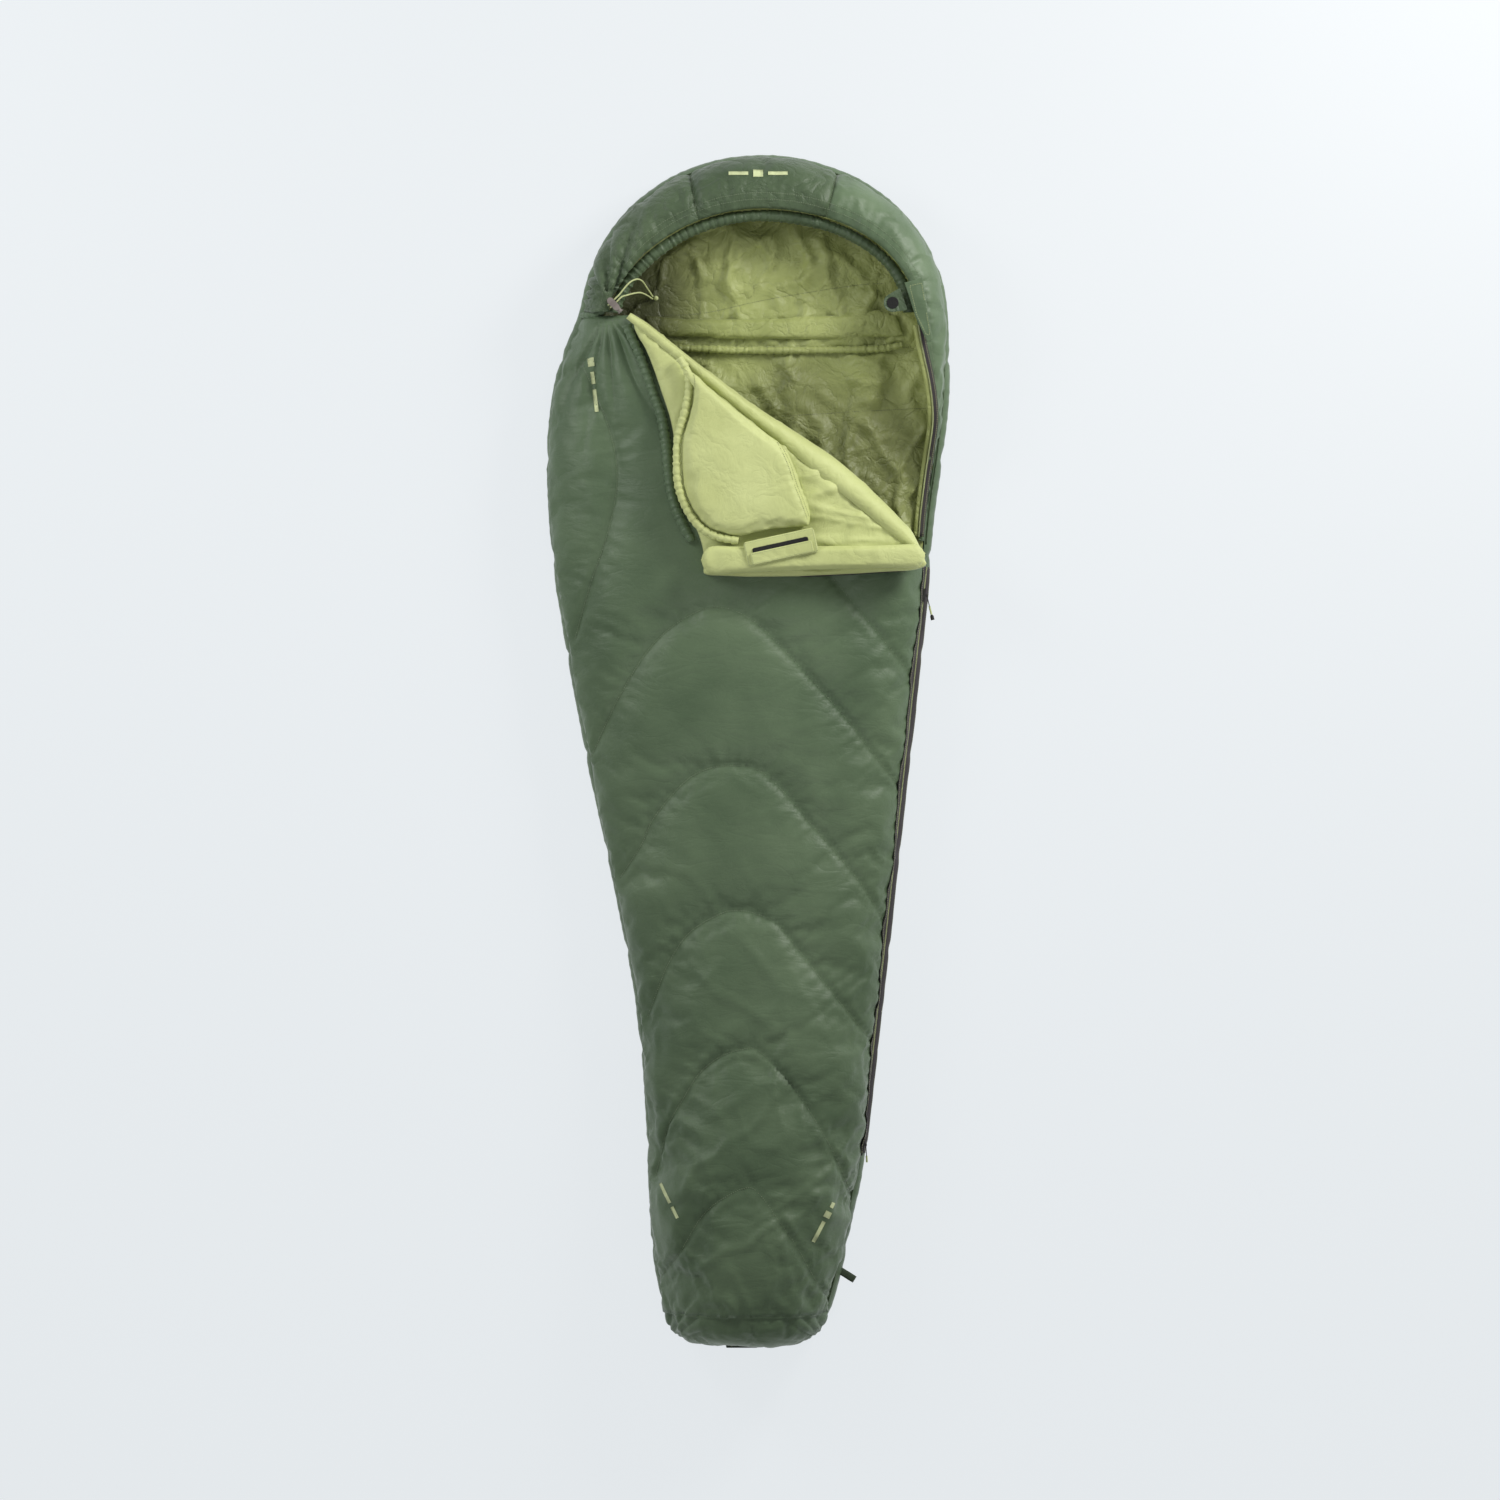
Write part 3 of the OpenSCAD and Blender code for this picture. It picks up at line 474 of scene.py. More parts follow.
def sweep(name, line, section, stuff, body="bag", up=(0, 0, 1), ride=True):
    """A closed tube along a line. section is [(side, up), ...], or one such list for each point."""
    line = np.asarray(line)
    t, side, top = axes_along(line, up)
    s = np.asarray(section, float)
    if s.ndim == 2:
        s = np.repeat(s[None], len(line), 0)
    rings = line[:, None] + side[:, None] * s[..., :1] + top[:, None] * s[..., 1:2]
    m, n = rings.shape[:2]
    faces = quads(m, n, 0, True, True) + [list(range(n)), list(range((m - 1) * n, m * n))[::-1]]
    return piece(name, rings, faces, stuff, None, body, ride)


def ring(radius, sides, flat=1.0):
    """The section of a round rope, or of one pressed flat."""
    a = np.linspace(0, 2 * math.pi, sides, endpoint=False)
    return np.stack([radius * np.cos(a), radius * flat * np.sin(a)], 1)


def tree_of(*names):
    """The CAD nodes' surfaces, for casting rays at them."""
    verts, faces = [], []
    for name in names:
        mesh = nodes[name].data
        base = len(verts)
        verts += [v.co.copy() for v in mesh.vertices]
        faces += [[base + k for k in p.vertices] for p in mesh.polygons]
    return BVHTree.FromPolygons(verts, faces)


def drop(tree, x, y):
    """The height of a surface at a plan point, or None beside it."""
    hit = tree.ray_cast(Vector((x, y, 0.5)), Vector((0, 0, -1)))[0]
    return None if hit is None else hit.z


def side_hit(tree, y, side, z):
    """How far out a surface goes on one side, -1 or 1."""
    return tree.ray_cast(Vector((side, y, z)), Vector((-side, 0, 0)))[0].x


def section(tree, foot, rim, count, rays=90, middle=0.5, top_z=None):
    """The outer surface cut by the upright plane through two plan points, as evenly spaced points.

    It runs from foot, at the seam, over to rim. The rays are cast at a point between the two.
    top_z is the height at the rim, where it is known.
    """
    foot, rim = np.array(foot[:2], float), np.array(rim[:2], float)
    span = np.linalg.norm(rim - foot)
    d = (rim - foot) / span
    z0 = seam_z + 0.0006
    centre = foot + d * span * middle
    top, inward = top_z, 0.0012
    while top is None and inward < 0.02:
        top = drop(tree, *(rim - d * inward))
        inward += 0.002
    end = math.atan2((top if top is not None else z0) - z0, span * (1 - middle) - (0 if top_z else inward))
    out = []
    for a in np.linspace(math.pi, end, rays):
        ray = Vector((d[0] * math.cos(a), d[1] * math.cos(a), math.sin(a)))
        start = Vector((centre[0], centre[1], z0)) + ray * 0.7
        hit = tree.ray_cast(start, -ray)[0]
        if hit is not None and (not out or np.linalg.norm(np.array(hit) - out[-1]) < 0.09):
            out.append(np.array(hit))
    if top_z is None and top is not None:
        out.append(np.array((*rim, top)))
    return resample(np.array(out), count)


def grid_tree(g):
    """A grid's surface, for casting rays at it."""
    return BVHTree.FromPolygons([Vector(v) for v in g.reshape(-1, 3)], quads(*g.shape[:2]))


def stitches(name, lines, tree, stuff, body="bag", long=3.0, gap=1.2, wide=0.8, lift=0.35):
    """Rows of thread stitches along lines, laid on a surface. Sizes are in millimetres."""
    verts, faces = [], []
    for line in [k for k in lines if len(k) > 1]:
        steps = max(1, int(along(line)[-1] / ((long + gap) * MM)))
        fine = resample(line, steps * 8 + 1)
        held = int(round(8 * long / (long + gap)))
        for i in range(steps):
            ends = []
            for p in (fine[i * 8], fine[i * 8 + held]):
                place, up = tree.find_nearest(Vector(p))[:2]
                up = np.array(up) * (1 if up.z >= 0 else -1)
                ends.append(np.array(place) + up * lift * MM * 0.3)
            a, b = ends
            if not 0.3 < np.linalg.norm(b - a) / (long * MM) < 2.5:
                continue
            side = unit(np.cross(b - a, up)) * wide * MM / 2
            middle = (a + b) / 2
            k = len(verts)
            verts += [a, b, middle + side, middle - side, middle + up * lift * MM, middle - up * 0.3 * MM]
            faces += [[k, k + 2, k + 4], [k, k + 4, k + 3], [k + 1, k + 4, k + 2], [k + 1, k + 3, k + 4],
                      [k, k + 5, k + 2], [k, k + 3, k + 5], [k + 1, k + 2, k + 5], [k + 1, k + 5, k + 3]]
    return piece(name, np.array(verts), faces, stuff, None, body)


def coil(name, node, line, radius, body, pitch=2.2, wire=0.5):
    """A zip's coil: one thread wound along a line. Sizes are in millimetres."""
    line = resample(line, int(along(line)[-1] / (pitch * MM) * 7))
    t, side, top = axes_along(line)
    turn = (2 * math.pi * along(line) / (pitch * MM))[:, None]
    wound = line + (side * np.cos(turn) + top * np.sin(turn)) * radius * MM
    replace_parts(sweep(name, wound, ring(wire * MM, 4), coil_stuff, body, t), node)


def distance_to(lines, p):
    """Distance from each point of p to the nearest of the lines, and how far along its line that is."""
    pts = np.concatenate(lines)
    pos = np.concatenate([along(l) + 10 * k for k, l in enumerate(lines)])
    tree = kdtree.KDTree(len(pts))
    for k, q in enumerate(pts):
        tree.insert(q, k)
    tree.balance()
    flat = p.reshape(-1, 3)
    found = [tree.find(q) for q in flat]
    return (np.array([f[2] for f in found]).reshape(p.shape[:-1]),
            pos[[f[1] for f in found]].reshape(p.shape[:-1]))


# ---------- cloth simulation ----------

class Batch:
    """Sheets and pads that are simulated together, each as an island of one mesh."""

    def __init__(self):
        self.verts, self.faces, self.pins, self.caps, self.spans = [], [], [], [], []

    def add(self, verts, faces, pins, cap):
        """Adds an island and returns its number.

        pins holds each point, from 0, free, to 1, fixed. cap is how far a point may move.
        """
        base = sum(len(v) for v in self.verts)
        verts = np.asarray(verts, float).reshape(-1, 3)
        self.verts.append(verts)
        self.faces += [[base + k for k in f] for f in faces]
        self.pins.append(np.broadcast_to(np.asarray(pins, float).ravel(), (len(verts),)))
        self.caps.append(np.full(len(verts), cap))
        self.spans.append((base, base + len(verts)))
        return len(self.spans) - 1

    def run(self, pressure=4.0, growth=0.03, frames=20):
        """Blows the islands up gently and lets their cloth grow, so that it settles in folds."""
        rest = np.concatenate(self.verts)
        pins = np.concatenate(self.pins)
        mesh = bpy.data.meshes.new("cloth")
        mesh.from_pydata(rest.tolist(), [], self.faces)
        obj = bpy.data.objects.new("cloth", mesh)
        bpy.context.scene.collection.objects.link(obj)
        group = obj.vertex_groups.new(name="pin")
        for level in np.unique(np.round(pins, 1)):
            if level > 0:
                group.add(np.flatnonzero(np.round(pins, 1) == level).tolist(), float(level), "REPLACE")
        cloth = obj.modifiers.new("cloth", "CLOTH").settings
        cloth.quality = 5
        cloth.mass = 0.25
        cloth.tension_stiffness = cloth.compression_stiffness = 14
        cloth.shear_stiffness = 4
        cloth.bending_stiffness = 0.25
        cloth.air_damping = 2
        cloth.vertex_group_mass = "pin"
        cloth.pin_stiffness = 1.0
        cloth.use_pressure = True
        cloth.uniform_pressure_force = pressure
        cloth.shrink_min = -growth
        cloth.effector_weights.gravity = 0
        scene = bpy.context.scene
        for f in range(1, frames + 1):
            scene.frame_set(f)
        moved = obj.evaluated_get(bpy.context.evaluated_depsgraph_get()).data
        co = np.zeros(len(rest) * 3)
        moved.vertices.foreach_get("co", co)
        scene.frame_set(1)
        bpy.data.objects.remove(obj)
        move = np.nan_to_num(co.reshape(-1, 3) - rest)
        far = np.maximum(np.linalg.norm(move, axis=1), 1e-9)
        cap = np.concatenate(self.caps)
        self.result = rest + move * (cap * np.tanh(far / cap) / far)[:, None]

    def get(self, number, shape=None):
        """An island's points after the simulation."""
        a, b = self.spans[number]
        return self.result[a:b].reshape(shape) if shape else self.result[a:b]


batch = Batch()

# ---------- free cord ----------

lock_turn = -vec(*joints["cord_lock_press"]["axis"])         # along the plunger, outwards
lock_along = vec(*joints["cord_lock_slide"]["axis"])         # along the cords
lock_at = (np.array(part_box("cord_lock_body")[0]) + np.array(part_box("cord_lock_body")[1])) / 2
cord_d = 3 * MM
cord_routes = {
    "cord_strand_upper": (-5, [[-226, 842, 140], [-217, 852, 139], [-208, 858, 132], [-200, 860, 119],
                               [-193, 857, 101], [-187, 849, 82], [-181, 841, 66], [-177, 835.5, 56.5],
                               [-175.6, 833.6, 54.8]]),
    "cord_strand_lower": (1, [[-223, 829, 137], [-215, 832, 130], [-206, 835, 118], [-198, 837, 103],
                              [-191, 836, 87], [-185, 834, 72], [-180, 831.5, 60.5], [-176.6, 829.6, 54.8]]),
}
for strand, (hole, route) in cord_routes.items():
    straight = [lock_at + lock_turn * hole * MM + lock_along * y * MM for y in (-9, 0, 10, 20)]
    line = spline(straight + [vec(*p) * MM for p in route], 3)
    data = bpy.data.curves.new(strand + "_braid", "CURVE")
    data.dimensions = "3D"
    data.bevel_depth = cord_d / 2
    data.bevel_resolution = 3
    data.use_fill_caps = True
    path = data.splines.new("POLY")
    path.points.add(len(line) - 1)
    for k, p in enumerate(line):
        path.points[k].co = (*p, 1)
    data.materials.append(cord_stuff)
    braid = bpy.data.objects.new(strand + "_braid", data)
    bpy.context.scene.collection.objects.link(braid)
    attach(braid, "bag")
    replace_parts(braid, strand)

# ---------- front of the bag: the surface ----------

front_tree = tree_of("front_shell")
row_step = 8 * MM
front_cols = 100


def fold_x(y):
    """The fold line's x at a plan height y."""
    return fold_a[0] + (fold_a[1] - y) / -fold_dir[1] * fold_dir[0]


fold_b = fold_a + fold_dir * np.linalg.norm([568 * MM, 462 * MM])     # the flap's corner beside the zip
front_rows = np.arange(foot_y + 0.0005, neck_y - 0.0005, row_step)
grid = []
for y in front_rows:
    left = side_hit(front_tree, y, -1, seam_z + 0.001)
    cut = y > fold_b[1]
    right = fold_x(y) - 0.0008 if cut else side_hit(front_tree, y, 1, seam_z + 0.001)
    grid.append(section(front_tree, (left, y), (right, y), front_cols, middle=0.5,
                        top_z=None if cut else seam_z + 0.0006))
front_grid = np.array(grid)
bend_row = int(np.searchsorted(front_rows, fold_b[1]))
to_edge = smoothstep((np.linspace(0, 1, front_cols) - 0.72) / 0.22)[None, :, None]
parted = np.concatenate([blur(front_grid[:bend_row], 5), blur(front_grid[bend_row:], 5)])
front_grid = blur(front_grid, 5) * (1 - to_edge) + parted * to_edge
beside_seam = np.exp(-((front_grid[..., 2] - seam_z - 0.016) / 0.014) ** 2)
below_neck = smoothstep((0.74 - front_grid[..., 1]) / 0.1)
front_grid[..., 0] -= 8 * MM * beside_seam * (front_grid[..., 0] < 0) * below_neck

# Quilting seams on the front, in plan: arches that open towards the foot, and two loose curves.
arches = [[(-290, -15), (-236, 98), (-176, 191), (-112, 243), (-58, 261), (-6, 245), (47, 202), (170, 68),
           (235, -15), (299, -90)],
          [(-236, -235), (-196, -173), (-170, -120), (-106, -50), (-41, -29), (30, -44), (117, -138),
           (205, -243), (262, -337)],
          [(-185, -490), (-165, -436), (-146, -390), (-111, -337), (-60, -303), (-23, -293), (20, -301),
           (60, -326), (130, -414), (235, -545)],
          [(-172, -790), (-159, -736), (-144, -681), (-117, -633), (-89, -589), (-50, -558), (-12, -546),
           (19, -548), (76, -605), (122, -675), (159, -742), (192, -821)],
          [(-168, -1010), (-159, -966), (-122, -911), (-89, -854), (-56, -821), (-3, -795), (23, -810),
           (52, -850), (89, -905), (122, -966), (150, -1010)]]
loose_seams = [[(132, 340), (228, 225), (312, 120)],
               [(-305, 708), (-255, 589), (-240, 497), (-255, 405), (-290, 300), (-319, 202)]]


def on_surface(tree, route, steps=24):
    """A smooth plan curve laid on a surface, where the surface is under it."""
    out = []
    for x, y in spline(plan(route), steps):
        z = drop(tree, x, y)
        if z is not None:
            out.append((x, y, z))
    return resample(np.array(out), max(20, int(along(np.array(out))[-1] / 0.004)))


front_seams = [on_surface(front_tree, p) for p in arches + loose_seams]


def quilted(g, seams, depth, width, pucker, loft, seed):
    """Sinks a surface along its seams, with puckers across them, and lofts it between them."""
    n = normals(g)
    far, pos = distance_to(seams, g)
    groove = -depth * np.exp(-(far / width) ** 2)
    swell = loft * (1 - np.exp(-(far / 0.055) ** 2))
    wobble = noise(np.stack([pos, pos * 0 + seed, pos * 0], -1), 0.03, seed)
    waves = np.sin(2 * math.pi * pos / 0.021 + 2.5 * wobble) * (0.6 + 0.4 * noise(g, 0.08, seed + 1))
    puckers = pucker * waves * np.exp(-far / 0.016) * (1 - np.exp(-(far / 0.005) ** 2))
    return g + n * (groove + swell + puckers)[..., None], far


def crumpled(g, size, amount, turn, seed, stretch=3.0):
    """Adds long shallow folds to a surface, slanting by turn, in degrees."""
    q = turned(g, turn)
    q = q + 0.35 * size * np.stack([noise(g, size, seed + 5), noise(g, size, seed + 6), q[..., 0] * 0], -1)
    folds = creases(q, (size, size * stretch, size * 2), seed) - 0.25
    soft = noise(g, size * 1.6, seed + 3)
    return g + normals(g) * (amount * (folds * 0.7 + soft * 0.5))[..., None]


def partly_crumpled(g, part, *folds):
    """Adds a part of crumpled's folds, which may differ from point to point."""
    return g + (crumpled(g, *folds) - g) * part


def pleated(g, centre, count, amount, reach, start, seed, span=None):
    """Adds pleats that spread from a gathered point. span keeps them to some directions, in degrees."""
    d = g[..., :2] - centre[:2]
    far = np.linalg.norm(d, axis=-1)
    way = np.arctan2(d[..., 1], d[..., 0])
    warp = 0.9 * noise(np.stack([way, far * 4, far * 0], -1), 0.5, seed)
    folds = np.abs(np.sin(way * count / 2 + warp)) ** 0.7 - 0.6
    size = amount * smoothstep((far - start * 0.3) / start) * np.exp(-(far / reach) ** 2)
    if span:
        middle = math.radians(sum(span) / 2)
        off = np.degrees(np.abs((way - middle + math.pi) % (2 * math.pi) - math.pi))
        size = size * smoothstep(((span[1] - span[0]) / 2 - off) / 15 + 0.5)
    return g + normals(g) * (size * folds)[..., None]


front_base, front_far = quilted(front_grid, front_seams, 5 * MM, 6.5 * MM, 2.2 * MM, 4 * MM, 3)
to_foot = smoothstep((neck_y - 0.75 - front_grid[..., 1]) / 1.1)[..., None]
front_base = partly_crumpled(front_base, 0.45 + 2.0 * to_foot, 0.085, 3.4 * MM, 35, 11)
lock_spot = np.array(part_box("cord_lock_body")[0])
front_base = pleated(front_base, lock_spot, 22, 11 * MM, 0.20, 0.05, 27, (-125, -50))
foot_corners = [(vec(front_grid[0, k, 0], foot_y - 0.06, 0), seed) for k, seed in ((0, 28), (-1, 29))]
for foot_corner, pleat_seed in foot_corners:
    front_base = pleated(front_base, foot_corner, 17, 7 * MM, 0.11, 0.03, pleat_seed)


def edge_pins(g, first=2, last=2, right=2):
    """Pins for a grid's edges. The counts are rows at its start and end, and columns at its right."""
    pins = np.zeros(g.shape[:2])
    pins[:first] = pins[-last:] = 1
    pins[:, :2] = pins[:, -right:] = 1
    return pins


front_pin = np.maximum(edge_pins(front_grid), (front_far < 0.006) * 1.0)
front_id = batch.add(front_base, quads(*front_grid.shape[:2]), front_pin, 6 * MM)

# ---------- foot panel ----------

foot_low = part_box("foot_panel_shell")[0]
foot_n = 30
angles = np.linspace(0, math.pi / 2, foot_n)
ring_y = foot_y - (foot_y - foot_low[1]) * np.sin(angles) ** 0.9
start_row = front_grid[0]
middle_x = (start_row[0, 0] + start_row[-1, 0]) / 2
foot_grid = []
for a, y in zip(angles, ring_y):
    k = max(0.02, math.cos(a) ** 0.5)
    row = start_row.copy()
    row[:, 0] = middle_x + (row[:, 0] - middle_x) * (0.12 + 0.88 * k)
    row[:, 2] = seam_z + (row[:, 2] - seam_z) * k
    row[:, 1] = y
    foot_grid.append(row)
foot_grid = np.array(foot_grid)[::-1]
foot_base = crumpled(foot_grid, 0.05, 4.5 * MM, 20, 31)
for foot_corner, pleat_seed in foot_corners:
    foot_base = pleated(foot_base, foot_corner, 17, 6 * MM, 0.11, 0.03, pleat_seed)
foot_base[-1] = front_base[0]
foot_id = batch.add(foot_base, quads(*foot_grid.shape[:2]), edge_pins(foot_grid, first=3), 5 * MM)

# ---------- hood and the open side: the surface ----------

hood_tree = tree_of("hood_shell_left", "hood_shell_centre", "hood_shell_right")
hood_c = vec(0.025, neck_y + 0.0005)
hood_foot = (0.321, 0.332, 0.288)      # half-widths left and right, and height, of the hood's outer curve
hood_rim = (0.280, 0.188)              # half-width and height of the face opening's curve
hood_cols = 30
side_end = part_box("hood_shell_right")[0][1]


def hood_points(a):
    """The hood's outer foot and its rim, in plan, in the direction a seen from its centre."""
    left = math.cos(a) < 0
    foot = hood_c + vec(hood_foot[0 if left else 1] * math.cos(a), hood_foot[2] * math.sin(a))
    rim = hood_c + vec(hood_rim[0] * math.cos(a), hood_rim[1] * max(0, math.sin(a)) ** (1.3 if left else 1))
    return foot, rim


def rim_x(y):
    """The open side's inner rim at a plan height y."""
    inside, outside = 0.24, 0.40
    for x in np.arange(inside, outside, 0.001):
        z = drop(hood_tree, x, y)
        if z is not None and z > seam_z + 0.002:
            return x
    return outside


arch_rows = 150                        # rows over the head; the open side's rows follow them
hood_middle = 0.727
stations = []
for a in np.linspace(math.pi - 0.002, 0.002, arch_rows):
    foot, rim = hood_points(a)
    stations.append(section(hood_tree, foot, rim, hood_cols, 60, hood_middle))
for y in np.arange(hood_c[1] - 0.008, side_end + 0.002, -0.008):
    foot = (side_hit(hood_tree, y, 1, seam_z + 0.0012), y)
    stations.append(section(hood_tree, foot, (rim_x(y) + 0.0005, y), hood_cols, 60, hood_middle))
hood_grid = blur(np.array(stations), 3)
hood_seam_rows = [int(arch_rows * (180 - angle) / 180) for angle in (115, 66)]
hood_seams = [resample(hood_grid[k], 60) for k in hood_seam_rows] + [hood_grid[arch_rows + 12:, 4]]
hood_base, hood_far = quilted(hood_grid, hood_seams, 5 * MM, 7 * MM, 1.2 * MM, 2 * MM, 41)
length_along = along(hood_grid[:, -1])[:, None]
across = np.linspace(0, 1, hood_cols)[None]
gather = np.sin(2 * math.pi * length_along / 0.017 + 2.2 * noise(hood_grid, 0.05, 43))
near_lock = np.exp(-(length_along / 0.16) ** 2)
ruche = (0.6 + 1.6 * near_lock) * MM * smoothstep((across - 0.35) / 0.65) * gather
ruche[arch_rows + 6:] *= 0.25
hood_base = hood_base + normals(hood_base) * ruche[..., None]
hood_base = crumpled(hood_base, 0.060, 3.6 * MM, 0, 45)
hood_base = crumpled(hood_base, 0.030, 2.6 * MM, 60, 47, 2.2)
hood_base = pleated(hood_base, lock_spot, 20, 19 * MM, 0.17, 0.04, 27)
hood_pin = np.maximum(edge_pins(hood_grid, right=3), (hood_far < 0.004) * 1.0)
hood_id = batch.add(hood_base, quads(*hood_grid.shape[:2]), hood_pin, 8 * MM)


# ---------- pads that start from their CAD solids ----------

def remeshed(node, voxel, shrink=0.0015):
    """The node's solid as an even closed mesh, a little smaller. Returns its points and faces."""
    mesh = nodes[node].data.copy()
    obj = bpy.data.objects.new("remesh", mesh)
    bpy.context.scene.collection.objects.link(obj)
    mod = obj.modifiers.new("voxel", "REMESH")
    mod.mode = "VOXEL"
    mod.voxel_size = voxel
    smooth = obj.modifiers.new("smooth", "SMOOTH")
    smooth.iterations = 6
    got = bpy.data.meshes.new_from_object(obj.evaluated_get(bpy.context.evaluated_depsgraph_get()))
    verts = np.array([v.co for v in got.vertices])
    ups = np.array([v.normal for v in got.vertices])
    faces = [list(p.vertices) for p in got.polygons]
    bpy.data.objects.remove(obj)
    bpy.data.meshes.remove(got)
    return verts - ups * shrink, faces


pads = {}


def pad(name, node, voxel, cap, pin=None):
    """Adds the node's remeshed solid to the simulation."""
    verts, faces = remeshed(node, voxel)
    pins = np.zeros(len(verts)) if pin is None else pin(verts)
    pads[name] = (batch.add(verts, faces, pins, cap), faces)


def off_fold(p):
    """How far plan points are from the fold line, on the flap's side."""
    return -((p[..., :2] - fold_a[:2]) @ fold_out[:2])


pad("flap_pad", "flap_insulation", 6 * MM, 3 * MM, lambda v: (off_fold(v) < 0.012) * 1.0)
pad("collar_front_pad", "collar_front", 6 * MM, 9 * MM)
pad("draft_tube_pad", "draft_tube_flap", 5 * MM, 3 * MM)
pad("collar_back_pad", "collar_back", 6 * MM, 6 * MM)

batch.run()


def finished_pad(name, node, stuffs, body, shape, split=None):
    """The pad as it came out of the simulation. split tells which faces have the second material."""
    number, faces = pads[name]
    verts = shape(batch.get(number))
    which = None
    if split:
        centres = np.array([verts[f].mean(0) for f in faces])
        which = split(centres).astype(int)
    obj = piece(name, verts, faces, stuffs, which, body, ride=False)
    sub = obj.modifiers.new("subdivision", "SUBSURF")
    sub.levels = sub.render_levels = 1
    bpy.context.view_layer.objects.active = obj
    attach(obj, body)
    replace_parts(obj, *([node] if isinstance(node, str) else node))
    return BVHTree.FromPolygons([Vector(v) for v in verts], faces)


# ---------- front of the bag: the pieces ----------

shell_t = 3 * MM
front_top = batch.get(front_id, front_grid.shape)

# The sharp creases fade out at the seams and at both sides.
free = np.clip(front_far / 0.008, 0, 1)[..., None]
from_side = np.minimum(np.arange(front_cols), np.arange(front_cols)[::-1])
free = free * smoothstep(from_side / 4)[None, :, None]
band_x = np.exp(-((front_grid[..., 0] - 0.09) / 0.09) ** 2)[..., None]
front_top = partly_crumpled(front_top, (0.2 + 1.7 * to_foot) * free, 0.050, 4.0 * MM, -50, 21)
front_top = partly_crumpled(front_top, (0.1 + 1.5 * to_foot) * free, 0.034, 3.2 * MM, 25, 23)
front_top = partly_crumpled(front_top, band_x * free, 0.015, 2.2 * MM, 86, 25, 6.0)
sheet("front_quilt", front_top, shell_t, shell, "shell_fabric", 0.7, "front_shell", "front_insulation")
inner = front_grid - normals(front_grid) * 36 * MM
inner[:, :, 2] = np.maximum(inner[:, :, 2], lining_z + 0.0006)
inner = crumpled(inner, 0.06, 2.5 * MM, 10, 51)
sheet("front_lining_cloth", inner, 1.5 * MM, lining, "lining_fabric", 0.4, "front_lining")

foot_top = batch.get(foot_id, foot_grid.shape)
foot_top[-1] = front_top[0]
sheet("foot_panel_quilt", foot_top, shell_t, shell, "shell_fabric", 0.7,
      "foot_panel_shell", "foot_panel_insulation", "foot_panel_lining")

# ---------- hood pieces ----------

hood_top = batch.get(hood_id, hood_grid.shape)
hood_in = hood_top - normals(hood_grid) * shell_t
cuts = [0, *hood_seam_rows, len(hood_grid) - 1]
for side, stuff, a, b in zip(("left", "centre", "right"), (hood_cloth, hood_cloth, shell), cuts, cuts[1:]):
    part = slab(f"hood_panel_{side}", hood_top[a:b + 1], hood_in[a:b + 1], stuff)
    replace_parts(part, f"hood_shell_{side}", *(["hood_insulation"] if side == "centre" else []))

hood_width = np.linalg.norm(hood_grid[:, -1, :2] - hood_grid[:, 0, :2], axis=1)
wall = np.minimum(0.036, hood_width * 0.6)[:, None, None]
hood_inner = hood_grid - normals(hood_grid) * wall
hood_inner[:, :, 2] = np.maximum(hood_inner[:, :, 2], lining_z + 0.0006)
hood_inner[:, -1] = hood_grid[:, -1] - vec(0, 0, 0.004)
hood_inner = crumpled(blur(hood_inner, 2), 0.05, 2.2 * MM, 0, 61)
sheet("hood_lining_cloth", hood_inner, 1.2 * MM, lining, "lining_fabric", 0.4, "hood_lining")


def gathered_hem(name, node, line, radius, stuff, body, seed, near=None, flat=1.0):
    """A drawcord channel, ruched along its length, and tightest near a point if one is given."""
    line = resample(line, int(along(line)[-1] / 0.0022))
    s = along(line)
    pleat = (np.sin(2 * math.pi * s / 0.013 + 3.2 * noise(line, 0.03, seed))
             + 0.7 * np.sin(2 * math.pi * s / 0.0071 + 3.0 * noise(line, 0.02, seed + 2)))
    slow = noise(line, 0.05, seed + 1)
    tight = 1.0 if near is None else 0.55 + 0.6 * np.exp(-np.linalg.norm(line - near, axis=1) / 0.12)
    size = radius * (0.97 + 0.10 * pleat * tight + 0.13 * slow)
    sections = ring(1.0, 14, flat)[None] * size[:, None, None]
    obj = sweep(name, lifted(line, 0.0012 * slow), sections, stuff, body)
    if node:
        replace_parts(obj, node)


hem_radius = 10.8 * MM
hem_line = []
for a in np.linspace(math.pi, 0, 60):
    foot, rim = hood_points(a)
    row = min(arch_rows - 1, int(arch_rows * (1 - a / math.pi)))
    x, y = rim + unit(rim - foot) * (hem_radius + 0.001)
    hem_height = min(0.0394, np.linalg.norm(rim - foot) * 0.72)
    hem_line.append((x, y, hood_grid[row, -1, 2] - hem_height / 2))
gathered_hem("hood_hem_gathers", "hood_hem", np.array(hem_line), hem_radius, hood_cloth, "bag", 71, lock_at)

# ---------- back of the bag ----------

back_tree = tree_of("back_shell")


side_r = 26 * MM                       # the rounding at the foot of the side


